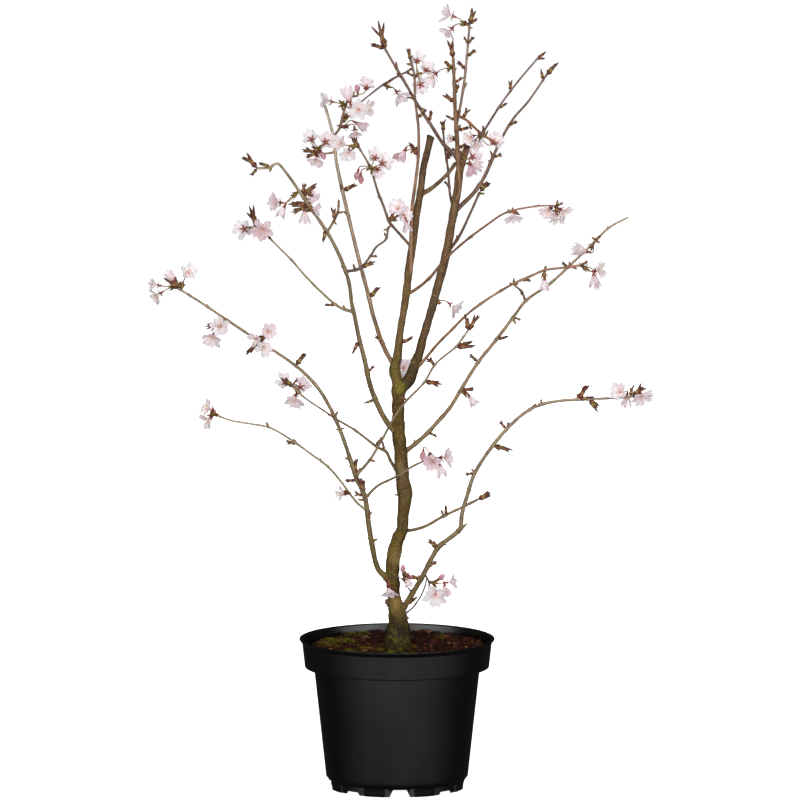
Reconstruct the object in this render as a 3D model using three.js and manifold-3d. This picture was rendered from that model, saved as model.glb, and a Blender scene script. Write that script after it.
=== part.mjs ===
// Young flowering cherry in a round nursery pot: pot, potting compost, wood with its leaf buds, blossom.
// Millimetres, +Z up, +X to the right, +Y to the back. The origin is the pot's axis at floor level.
import * as THREE from 'three';
import { mergeVertices } from 'three/addons/utils/BufferGeometryUtils.js';
import Module from 'manifold-3d';

const wasm = await Module();
wasm.setup();
const { Manifold } = wasm;

// ---- driving dimensions ----

const GAP = 0.35; // clearance between neighbouring pieces
const SLIVER = 0.02; // finest detail kept where solids are fused

const POT = {
  sides: 28,
  height: 151,
  lipRadius: 98,
  lipDepth: 5,
  lipThickness: 3.2,
  lipChamfer: 1,
  collarTopRadius: 95.5,
  collarBottomRadius: 92.3,
  collarBottom: 122.3,
  bodyTopRadius: 83.2,
  bodyLowRadius: 71.2,
  bodyLow: 13,
  heelRadius: 68.3,
  heel: 7,
  footRadius: 67.4,
  footThickness: 2.4,
  wall: 1.5,
  floor: 7.8,
  cornerFill: 0.6,
  drainHoleRadius: 4.5,
  drainHoleCircle: 48,
  drainHoleCut: 8,
};

// The notches cut in the foot, high and low ones in turn. Each block that cuts one reaches below the
// foot, and inside and outside its wall.
const NOTCH = {
  count: 8,
  turn: 2.5,
  high: { height: 7.4, widthTop: 11.6, widthBottom: 20 },
  low: { height: 2.9, widthTop: 13, widthBottom: 17 },
  below: 1,
  slack: 3,
};

const SOIL = {
  crown: 139.5,
  backRise: 0.045,
  bump: 1.6,
  rings: [30, 62],
  edgeDrop: 4,
  slack: 0.1,
};

const WOOD = { trunkSides: 8, leaderSides: 6, branchSides: 5, shootSides: 4, thinShoot: 1.75 };
const STEP = { leader: 28, branch: 25, shoot: 27 };
const BUD = {
  girth: 0.19,
  least: 0.95,
  most: 2.1,
  widest: 0.55,
  shortest: 9.6,
  fourSided: 13,
  spread: 0.5,
  forward: -0.2,
  backward: 0.4,
};

const PETAL = { count: 5, thickness: 0.65, notchedFrom: 10.9, unevenLift: 0.3, unevenReach: 0.12 };
const STALK = {
  radius: 0.5,
  straight: 24,
  bend: 0.35,
  calyxRadius: 1.25,
  calyxLength: 3,
  stubRadius: 1.1,
  stubTaper: 0.8,
  stubReach: 4.2,
  stubEnd: 0.8,
};

// Routes are laid out on a drawing plane that leans back by this angle. A route point is
// [across, up] on that plane, and its depth is how far it lies behind the pot's axis.
const DRAWING_LEAN = THREE.MathUtils.degToRad(8.6);

const SEED = { leafBuds: 11, blossom: 5 };

const OPEN = 'open';
const HALF = 'half open';
const BUDDED = 'bud';

// The trunk, from the bottom of its foot in the compost up to the fork: [across, up, radius].
const TRUNK = [
  [0.5, 104, 14], [0.5, 140, 14], [0.6, 149, 13.4], [1.2, 158, 12.2], [1.4, 166, 9.8], [0.5, 173, 9],
  [-0.5, 179, 8.4], [-2.5, 188, 6.7], [-3.8, 200, 6.6], [-4.5, 214, 6.6], [-3.8, 228, 7.2],
  [-2, 238, 7], [0.8, 248, 6.3], [5, 258, 6], [6, 272, 5.8], [7.2, 284, 6.2], [8, 293, 7.9],
  [6.6, 302, 7], [4.8, 318, 6.8], [3.6, 336, 6.5], [1.4, 356, 6.8], [1.2, 372, 6.2],
  [1.2, 388, 6.2], [2, 398, 7.4], [4.5, 406, 6.5],
];
const TRUNK_DEPTH = [0, 0, -2, 0, 2, 1];

// Limbs, each with the limb it grows from. depth and radius are spaced evenly along the path.
const LIMBS = [
  {
    name: 'leftLeader', from: 'trunk',
    depth: [0, -3, -6, -8, -10],
    radius: [6.5, 5, 3.6, 3.6, 3.9, 3.9, 3.8, 3.5, 3.4, 3.4, 3.5],
    path: [
      [1, 400], [-2.5, 418], [0, 428], [1.3, 438], [3.5, 458], [7, 478], [9.8, 498], [11.8, 518],
      [14.8, 538], [17.5, 558], [20.5, 578], [23.8, 598], [26.2, 618], [31, 638], [33.5, 650],
    ],
  },
  {
    name: 'rightLeader', from: 'trunk',
    depth: [2, 8, 14, 20, 25],
    radius: [6.5, 5.6, 4.5, 4.1, 4.1, 4.3, 4.4, 4.2, 4.1, 4.1, 4, 3.2],
    path: [
      [2, 397], [7, 402], [12, 408], [16.4, 418], [19.8, 428], [23.2, 438], [25.7, 448],
      [28.6, 458], [34.5, 478], [39.8, 498], [45.3, 518], [50, 538], [53.5, 558], [57, 578],
      [60.5, 598], [63, 618], [70.5, 641],
    ],
  },
  {
    name: 'A1', from: 'leftLeader',
    depth: [14, 40, 70, 95, 110],
    radius: [2.4, 2.3, 2.1, 1.9, 1.9, 1.6, 1.4],
    path: [
      [-4, 420], [-11, 436], [-16, 448], [-24, 473], [-30, 498], [-36, 520], [-45, 556],
      [-53, 590], [-57, 608], [-61, 628], [-63, 648], [-68, 668], [-73, 685],
    ],
  },
  {
    name: 'A1left', from: 'A1',
    depth: [88],
    radius: [1.1, 0.9],
    path: [
      [-62, 636], [-67, 635], [-75, 634.5], [-81, 635],
    ],
  },
  {
    name: 'A1up', from: 'A1',
    depth: [92, 86],
    radius: [1.3, 1],
    path: [
      [-63, 652], [-57, 661], [-55, 670], [-52, 680], [-49, 690],
    ],
  },
  {
    name: 'A2', from: 'trunk',
    depth: [-12, -35, -60, -85, -105, -118],
    radius: [2.9, 2.7, 2.4, 2.1, 1.9, 1.8, 1.6, 1.4, 1.2],
    path: [
      [-1, 352], [-9, 364], [-19, 382], [-27, 403], [-32, 426], [-38, 450], [-42, 470], [-45, 483],
      [-48, 505], [-55, 526], [-64, 545], [-77, 566], [-89, 583], [-97, 595], [-112, 616],
      [-119, 623], [-127, 619], [-139, 618],
    ],
  },
  {
    name: 'A2left', from: 'A2',
    depth: [-50, -40, -30, -22],
    radius: [1.6, 1.3, 1.1, 0.9, 0.8],
    path: [
      [-45, 474], [-57, 480], [-72, 492], [-92, 512], [-105, 527], [-121, 543], [-131, 553],
      [-140, 560],
    ],
  },
  {
    name: 'A2right', from: 'A2',
    depth: [-45, -50],
    radius: [1.5, 1.2, 1],
    path: [
      [-50, 515], [-37, 519], [-26, 532], [-21, 540], [-11, 548], [-9, 560],
    ],
  },
  {
    name: 'A2spur', from: 'A2',
    depth: [-62],
    radius: [1.3, 1],
    path: [
      [-68, 555], [-63, 566], [-59, 575], [-58, 583],
    ],
  },
  {
    name: 'A3', from: 'trunk',
    depth: [-12, -18, -24, -20, -4, 14, 30],
    radius: [3.2, 2.7, 2.4, 2.2, 1.9, 1.8, 1.6, 1.5, 1.3, 1.1],
    path: [
      [-4, 198], [-9, 208], [-19, 219], [-25, 243], [-29, 268], [-32, 290], [-40, 308], [-46, 326],
      [-53, 347], [-63, 372], [-77, 397], [-91, 413], [-107, 426], [-131, 442], [-157, 459],
      [-175, 471], [-199, 487], [-220, 500],
    ],
  },
  {
    name: 'A3front', from: 'A3',
    depth: [-20, -24, -30],
    radius: [1.4, 1.2, 1],
    path: [
      [-31, 291], [-19, 302], [-7, 308], [5, 314], [15, 321], [27, 327], [31, 331], [32.5, 335],
    ],
  },
  {
    name: 'A4', from: 'trunk',
    depth: [16, 34, 52, 66],
    radius: [2.2, 1.5, 1.2, 1, 0.9],
    path: [
      [3, 306], [-6, 326], [-11, 336], [-19, 340], [-43, 358], [-60, 368], [-75, 378], [-94, 391],
      [-105, 402],
    ],
  },
  {
    name: 'A5', from: 'A3',
    depth: [-24, -30, -42, -54],
    radius: [1.5, 1.3, 1.2, 1.1, 1],
    path: [
      [-41, 311], [-27, 328], [-15, 348], [-4, 368], [7, 384], [27, 405], [38, 423], [48, 432],
      [58, 440], [71, 457],
    ],
  },
  {
    name: 'A6', from: 'A3',
    depth: [-28, -44, -60, -72],
    radius: [1.3, 1.2, 1.1, 1, 0.9],
    path: [
      [-30, 276], [-40, 285], [-56, 306], [-69, 321], [-85, 333], [-106, 348], [-127, 360],
      [-147, 364], [-165, 367], [-179, 372],
    ],
  },
  {
    name: 'B1', from: 'trunk',
    depth: [-14, -22, -30, -34, -42, -50],
    radius: [3.2, 2.6, 2.4, 2.1, 1.9, 1.8, 1.6, 1.4, 1.2],
    path: [
      [2, 170], [7, 180], [16, 195], [26, 212], [35, 230], [42, 241], [56, 252], [63, 259],
      [65, 274], [69, 288], [78, 315], [98, 345], [114, 363], [128, 375], [144, 383], [165, 387],
      [193, 388.5], [215, 389.5], [235, 391],
    ],
  },
  {
    name: 'B1hook', from: 'B1',
    depth: [-24],
    radius: [1.1, 0.8],
    path: [
      [29, 213], [32, 206], [31.5, 198],
    ],
  },
  {
    name: 'B1pin', from: 'B1',
    depth: [-22],
    radius: [2.2, 0.9],
    path: [
      [60, 256], [70, 264],
    ],
  },
  {
    name: 'baseShoot', from: 'trunk',
    depth: [-17, -19],
    radius: [1, 0.9, 0.9],
    path: [
      [3, 170], [15, 179], [21, 187], [26, 196], [29, 205], [30, 212],
    ],
  },
  {
    name: 'crossShoot', from: 'B1',
    depth: [-16, -14, -9],
    radius: [1, 0.8, 0.8],
    path: [
      [16, 194], [11, 200], [6, 208], [0, 210.5], [-6, 210], [-10, 207],
    ],
  },
  {
    name: 'B2', from: 'trunk',
    depth: [18, 32, 46],
    radius: [1.8, 1.5, 1.4, 1.2],
    path: [
      [4, 256], [18, 258], [30, 262], [46, 271], [65, 280], [81, 288],
    ],
  },
  {
    name: 'B3', from: 'trunk',
    depth: [12, 36, 60, 84, 104, 120],
    radius: [2.4, 2.1, 1.9, 1.8, 1.6, 1.4, 1.1, 0.9],
    path: [
      [3, 333], [16, 342], [28, 352], [40, 365], [53, 380], [64, 398], [81, 425], [101, 450],
      [119, 474], [129, 487], [153, 504], [177, 526], [198, 546], [212, 560], [232, 571],
    ],
  },
  {
    name: 'B3spur', from: 'B3',
    depth: [78],
    radius: [1.2, 0.9],
    path: [
      [129, 487], [125, 496], [117, 503],
    ],
  },
  {
    name: 'B4', from: 'rightLeader',
    depth: [-8, -26, -42, -55],
    radius: [1.8, 1.4, 1.3, 1.2, 1.1],
    path: [
      [14, 418], [25, 425], [40, 443], [55, 458], [71, 474], [93, 490], [115, 503], [135, 512],
      [147, 517], [169, 520], [183, 522],
    ],
  },
  {
    name: 'B5', from: 'leftLeader',
    depth: [-16, -44, -76, -100, -112],
    radius: [1.7, 1.4, 1.2, 1, 0.8],
    path: [
      [8.5, 492], [17, 497], [31, 508], [49, 529], [68, 546], [88, 561], [108, 574], [128, 579],
      [145, 581], [159, 581],
    ],
  },
  {
    name: 'link', from: 'leftLeader',
    depth: [4, 26],
    radius: [2.4, 1.9, 2],
    path: [
      [24, 592], [33, 598], [49, 612], [59, 625],
    ],
  },
  {
    name: 'frontShoot', from: 'leftLeader',
    depth: [-10, -14, -17, -22, -28],
    radius: [1.6, 2, 1.8, 1.5, 1.2, 1],
    path: [
      [11, 496], [13.5, 518], [14, 548], [15, 578], [18, 602], [21, 628], [21.5, 658], [18, 688],
      [17, 713], [12, 732],
    ],
  },
  {
    name: 'Ti', from: 'leftLeader',
    depth: [-26, -44, -60],
    radius: [1.5, 1.4, 1.2, 1],
    path: [
      [12, 540], [3, 553], [-8, 566], [-13, 580], [-19, 595], [-27, 620], [-39, 641],
    ],
  },
  {
    name: 'Ta', from: 'rightLeader',
    depth: [13, 9, 0, -10, -18],
    radius: [2.2, 2.4, 2.3, 1.9, 1.7, 1.4],
    path: [
      [63, 582], [62.5, 598], [61.5, 618], [60, 648], [58, 678], [57, 706], [56, 730],
    ],
  },
  {
    name: 'Tb', from: 'Ta',
    depth: [16, 26, 32],
    radius: [1.5, 1.4, 1.2, 1.1],
    path: [
      [60, 660], [64.5, 688], [67.5, 708], [70.5, 738], [72.5, 763],
    ],
  },
  {
    name: 'Tc', from: 'Ta',
    depth: [-14, -32],
    radius: [1.3, 1.2, 1.1],
    path: [
      [60.5, 672], [68, 668], [84, 653.5], [100, 643],
    ],
  },
  {
    name: 'Tc2', from: 'Tc',
    depth: [-38, -50, -62],
    radius: [1.3, 1.1, 0.9],
    path: [
      [84, 653], [93, 666], [106, 686], [123, 708], [141, 729],
    ],
  },
  {
    name: 'Td', from: 'rightLeader',
    depth: [34, 58, 84, 104],
    radius: [2.4, 1.9, 1.5, 1.2, 0.9],
    path: [
      [56.5, 574], [65, 583], [77, 595], [87, 610], [95, 628], [103, 646], [117, 670], [131, 686],
      [151, 715],
    ],
  },
  {
    name: 'Td2', from: 'rightLeader',
    depth: [32, 38],
    radius: [1.8, 1.3, 1.2],
    path: [
      [53, 532], [62, 551], [74, 576], [83, 596],
    ],
  },
  {
    name: 'Te', from: 'rightLeader',
    depth: [30, 42, 54, 64],
    radius: [1.8, 1.8, 1.6, 1.4, 1.2],
    path: [
      [62, 623], [55, 635], [46, 644], [33, 664], [20, 684], [8, 705], [-4, 725], [-12, 739],
    ],
  },
  {
    name: 'Tg', from: 'Te',
    depth: [66, 74],
    radius: [1.1, 0.9],
    path: [
      [3, 714], [-14, 703], [-26, 694], [-36, 686],
    ],
  },
  {
    name: 'Tgr', from: 'Te',
    depth: [50],
    radius: [1, 0.8],
    path: [
      [4, 713], [11, 716],
    ],
  },
  {
    name: 'Tf', from: 'rightLeader',
    depth: [34, 40, 44],
    radius: [1.4, 1.2, 1],
    path: [
      [57, 576], [53, 593], [51, 618], [48, 638], [46, 658],
    ],
  },
];
const SPURS = {
  Te: [
    [[1, 718], [-1, 727]], [[6, 709], [-1, 715]], [[-12, 739], [-19, 768], [-26, 762], [-13, 766]],
    [[-12, 739], [-27, 744]], [[-12, 739], [-12, 750]], [[22, 680], [30, 677]],
    [[33, 665], [35, 678]], [[51, 637], [52, 628]], [[47, 643], [55, 630]],
  ],
  frontShoot: [
    [[13, 726], [11, 739]], [[15, 722], [9, 723]], [[18, 688], [9, 690]], [[18, 688], [12, 695]],
    [[22, 669], [30, 677]], [[22, 630], [12, 645]],
  ],
  Tg: [
    [[-6, 708], [-13, 702]], [[-14, 703], [-8, 700]],
  ],
  Tgr: [
    [[9, 715], [16, 720]], [[9, 715], [17, 711]],
  ],
  Tf: [
    [[46, 655], [43, 667], [49, 669]], [[49, 600], [47, 607]], [[50, 628], [52, 636]],
  ],
  Ta: [
    [[57, 684], [45, 692], [49, 694]], [[59, 666], [48, 672]], [[56, 718], [47, 726]],
    [[56, 728], [50, 747], [56, 747]], [[57, 716], [60, 719]], [[57, 704], [67, 710]],
    [[58, 693], [62, 704]], [[59, 668], [62, 678]], [[61, 657], [64, 663]], [[61, 657], [73, 660]],
    [[62, 638], [69, 644], [73, 645]], [[62, 632], [71, 640]], [[62, 630], [69, 622]],
    [[61, 633], [55, 640]],
  ],
  Tb: [
    [[66.5, 698], [70, 705]], [[67, 718], [60, 727]], [[70, 731], [79, 738]],
    [[71, 743], [67, 751]], [[71, 743], [77, 751]], [[72, 758], [76, 760]], [[72, 761], [67, 767]],
    [[72.5, 762], [75, 780], [79, 777]], [[72.5, 762], [81, 769]],
  ],
  Tc: [
    [[65, 669.5], [74, 678], [69, 680]], [[72, 665], [74, 657]], [[88, 651], [91, 657]],
  ],
  Tc2: [
    [[85, 654], [86, 662]], [[102, 678], [111, 684]], [[114, 696], [111, 706], [115, 707]],
    [[140, 728], [149, 735]], [[140, 728], [148, 728]],
  ],
  Td: [
    [[112, 662], [121, 667]], [[146, 708], [144, 720]], [[150, 714], [162, 726], [158, 725]],
    [[96, 631], [93, 638]], [[96, 631], [106, 634]], [[93, 625], [91, 628]],
    [[83, 601], [92, 605]], [[83, 599], [79, 595]],
  ],
  Td2: [
    [[83, 596], [94, 605], [90, 607]], [[82, 594], [88, 594]], [[60, 548], [60, 553]],
  ],
  Ti: [
    [[-16, 589], [-20, 591]], [[-8, 566], [-11, 575]], [[-8, 566], [-3, 576]],
    [[-8, 566], [0, 569]], [[-37, 638], [-46, 650]], [[-38, 639], [-43, 650]],
    [[-39, 641], [-45, 639]], [[-27, 620], [-31, 616]],
  ],
  A2right: [
    [[-9, 558], [-14, 557]], [[-9, 558], [-5, 564]], [[-11, 550], [-13, 555]],
    [[-42, 517], [-44, 524]], [[-37, 519], [-21, 526]], [[-26, 530], [-19, 531]],
  ],
  A1: [
    [[-55, 596], [-39, 603], [-43, 604]], [[-55, 596], [-57, 604]], [[-48, 573], [-54, 577]],
    [[-28, 490], [-16, 501], [-20, 501]], [[-18, 443], [-22, 453]],
  ],
  A1up: [
    [[-57, 663], [-61, 662]], [[-56, 666], [-52, 670]], [[-56, 664], [-46, 674]],
    [[-53, 677], [-56, 684]], [[-49, 688], [-51, 699], [-47, 698]],
  ],
  A1left: [
    [[-80, 635], [-96, 639]], [[-80, 635], [-92, 631]], [[-80, 635], [-85, 644]],
  ],
  A2: [
    [[-95, 592], [-79, 604], [-80, 600]], [[-95, 592], [-82, 592]], [[-95, 593], [-91, 604]],
    [[-125, 619], [-138, 624]], [[-124, 619], [-127, 614]],
    [[-138, 618], [-154, 630], [-150, 634]], [[-138, 618], [-147, 611], [-144, 610]],
    [[-89, 583], [-101, 585]], [[-89, 582], [-105, 580], [-109, 583]], [[-87, 580], [-106, 574]],
    [[-72, 557], [-73, 544]], [[-38, 448], [-45, 433]], [[-28, 415], [-22, 423]],
    [[-22, 388], [-34, 384]], [[-52, 518], [-56, 522]],
  ],
  A2spur: [
    [[-63, 567], [-66, 580], [-61, 579]], [[-63, 566], [-60, 562]], [[-58, 581], [-58, 588]],
    [[-60, 574], [-53, 575]],
  ],
  A2left: [
    [[-52, 477], [-54, 483]], [[-62, 482], [-73, 482]],
    [[-139, 559], [-148, 582], [-151, 575], [-145, 578]], [[-140, 559], [-143, 583], [-147, 574]],
    [[-140, 559], [-138, 569]], [[-134, 555], [-129, 558]], [[-105, 527], [-107, 529]],
  ],
  A3: [
    [[-100, 422], [-90, 434], [-93, 435]], [[-82, 403], [-85, 404]], [[-64, 375], [-65, 380]],
    [[-62, 371], [-70, 374]], [[-62, 371], [-59, 377]], [[-57, 358], [-62, 358]],
    [[-56, 358], [-52, 360]], [[-47, 328], [-53, 330]], [[-42, 314], [-41, 330]],
    [[-42, 314], [-35, 320]], [[-45, 323], [-48, 320]], [[-40, 307], [-53, 307]],
    [[-34, 296], [-37, 310]], [[-33, 294], [-34, 309]], [[-33, 291], [-43, 298], [-44, 291]],
    [[-31, 288], [-40, 288]], [[-26, 247], [-30, 250]], [[-25, 246], [-19, 249]],
    [[-28, 266], [-27, 278]], [[-31, 290], [-27, 292]], [[-135, 445], [-133, 455]],
    [[-139, 448], [-147, 434], [-151, 432]], [[-139, 448], [-132, 431]],
    [[-170, 467], [-186, 462], [-191, 463]], [[-170, 467], [-192, 458]],
    [[-188, 481], [-190, 484]], [[-207, 492], [-209, 494]],
    [[-219, 499], [-234, 510], [-231, 511]], [[-219, 499], [-223, 512]],
    [[-219, 499], [-216, 507]],
  ],
  A4: [
    [[-13, 336], [-15, 347]], [[-21, 342], [-14, 351]], [[-42, 357], [-43, 360]],
    [[-105, 402], [-117, 410], [-112, 410]], [[-105, 402], [-100, 409]], [[-95, 392], [-93, 391]],
  ],
  A6: [
    [[-100, 345], [-112, 346]], [[-100, 345], [-104, 349]], [[-127, 360], [-131, 366]],
    [[-75, 327], [-77, 330]], [[-69, 321], [-69, 323]], [[-178, 371], [-182, 375]],
  ],
  A5: [
    [[-27, 327], [-21, 326]], [[27, 405], [46, 403], [43, 406]], [[37, 422], [33, 431]],
    [[38, 424], [29, 429]], [[58, 440], [76, 440], [79, 442]], [[59, 441], [77, 447]],
    [[66, 450], [65, 451]], [[71, 457], [67, 474], [71, 470]], [[71, 457], [82, 474]],
    [[71, 457], [78, 462]],
  ],
  B3: [
    [[81, 425], [72, 434]], [[81, 425], [84, 428]], [[101, 448], [112, 451]],
    [[117, 470], [125, 468]], [[117, 470], [119, 463]], [[18, 344], [17, 349]],
    [[31, 354], [41, 351]], [[45, 372], [47, 374]], [[63, 396], [78, 399]], [[63, 396], [71, 390]],
    [[154, 505], [152, 502]], [[199, 546], [195, 551], [201, 551]], [[199, 546], [204, 553]],
    [[199, 546], [204, 545]], [[198, 545], [194, 538]], [[212, 560], [211, 562]],
    [[171, 521], [165, 525]],
  ],
  B3spur: [
    [[117, 502], [112, 505]], [[117, 502], [117, 510]], [[117, 502], [122, 504]],
    [[125, 494], [127, 496]], [[123, 495], [125, 492]],
  ],
  B4: [
    [[104, 497], [107, 498]], [[83, 483], [83, 485]], [[125, 506], [134, 507]],
    [[57, 459], [54, 456]], [[147, 517], [149, 522]], [[147, 517], [147, 512]],
    [[170, 520], [164, 526]], [[172, 520], [172, 526]], [[175, 520], [180, 518]],
    [[183, 522], [182, 525]], [[183, 522], [191, 526]], [[21, 423], [22, 428]],
  ],
  B1: [
    [[30, 221], [28, 222]], [[31, 219], [41, 227]], [[23, 209], [21, 213]], [[40, 239], [31, 249]],
    [[41, 240], [36, 247]], [[44, 242], [50, 243]], [[78, 315], [67, 313]], [[78, 315], [74, 319]],
    [[96, 342], [117, 337], [113, 339]], [[97, 342], [103, 336]], [[109, 358], [102, 367]],
    [[109, 358], [112, 366]], [[144, 383], [144, 389]], [[144, 383], [141, 385]],
    [[133, 378], [139, 384]], [[181, 388], [192, 403], [189, 403]], [[181, 388], [180, 394]],
    [[181, 388], [198, 391]], [[191, 388], [201, 375]], [[191, 388], [203, 381]],
    [[73, 298], [74, 296]], [[233, 391], [237, 404], [233, 400]],
    [[234, 391], [244, 405], [250, 400]], [[9, 182], [21, 191]],
  ],
  B2: [
    [[48, 272], [49, 283]], [[46, 271], [44, 278]], [[81, 288], [94, 296]], [[81, 288], [95, 292]],
    [[73, 284], [78, 285]],
  ],
  B5: [
    [[73, 549], [76, 550]], [[111, 575], [110, 578]], [[138, 580], [142, 582]],
    [[159, 581], [166, 584]], [[159, 581], [160, 587]], [[31, 509], [32, 510]],
  ],
  crossShoot: [
    [[7, 207], [11, 208]],
  ],
  trunk: [
    [[-5, 191], [-11, 180]], [[0, 292], [-3, 293]], [[12, 288], [15, 294]],
  ],
  leftLeader: [
    [[2, 443], [17, 450]],
  ],
};
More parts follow.
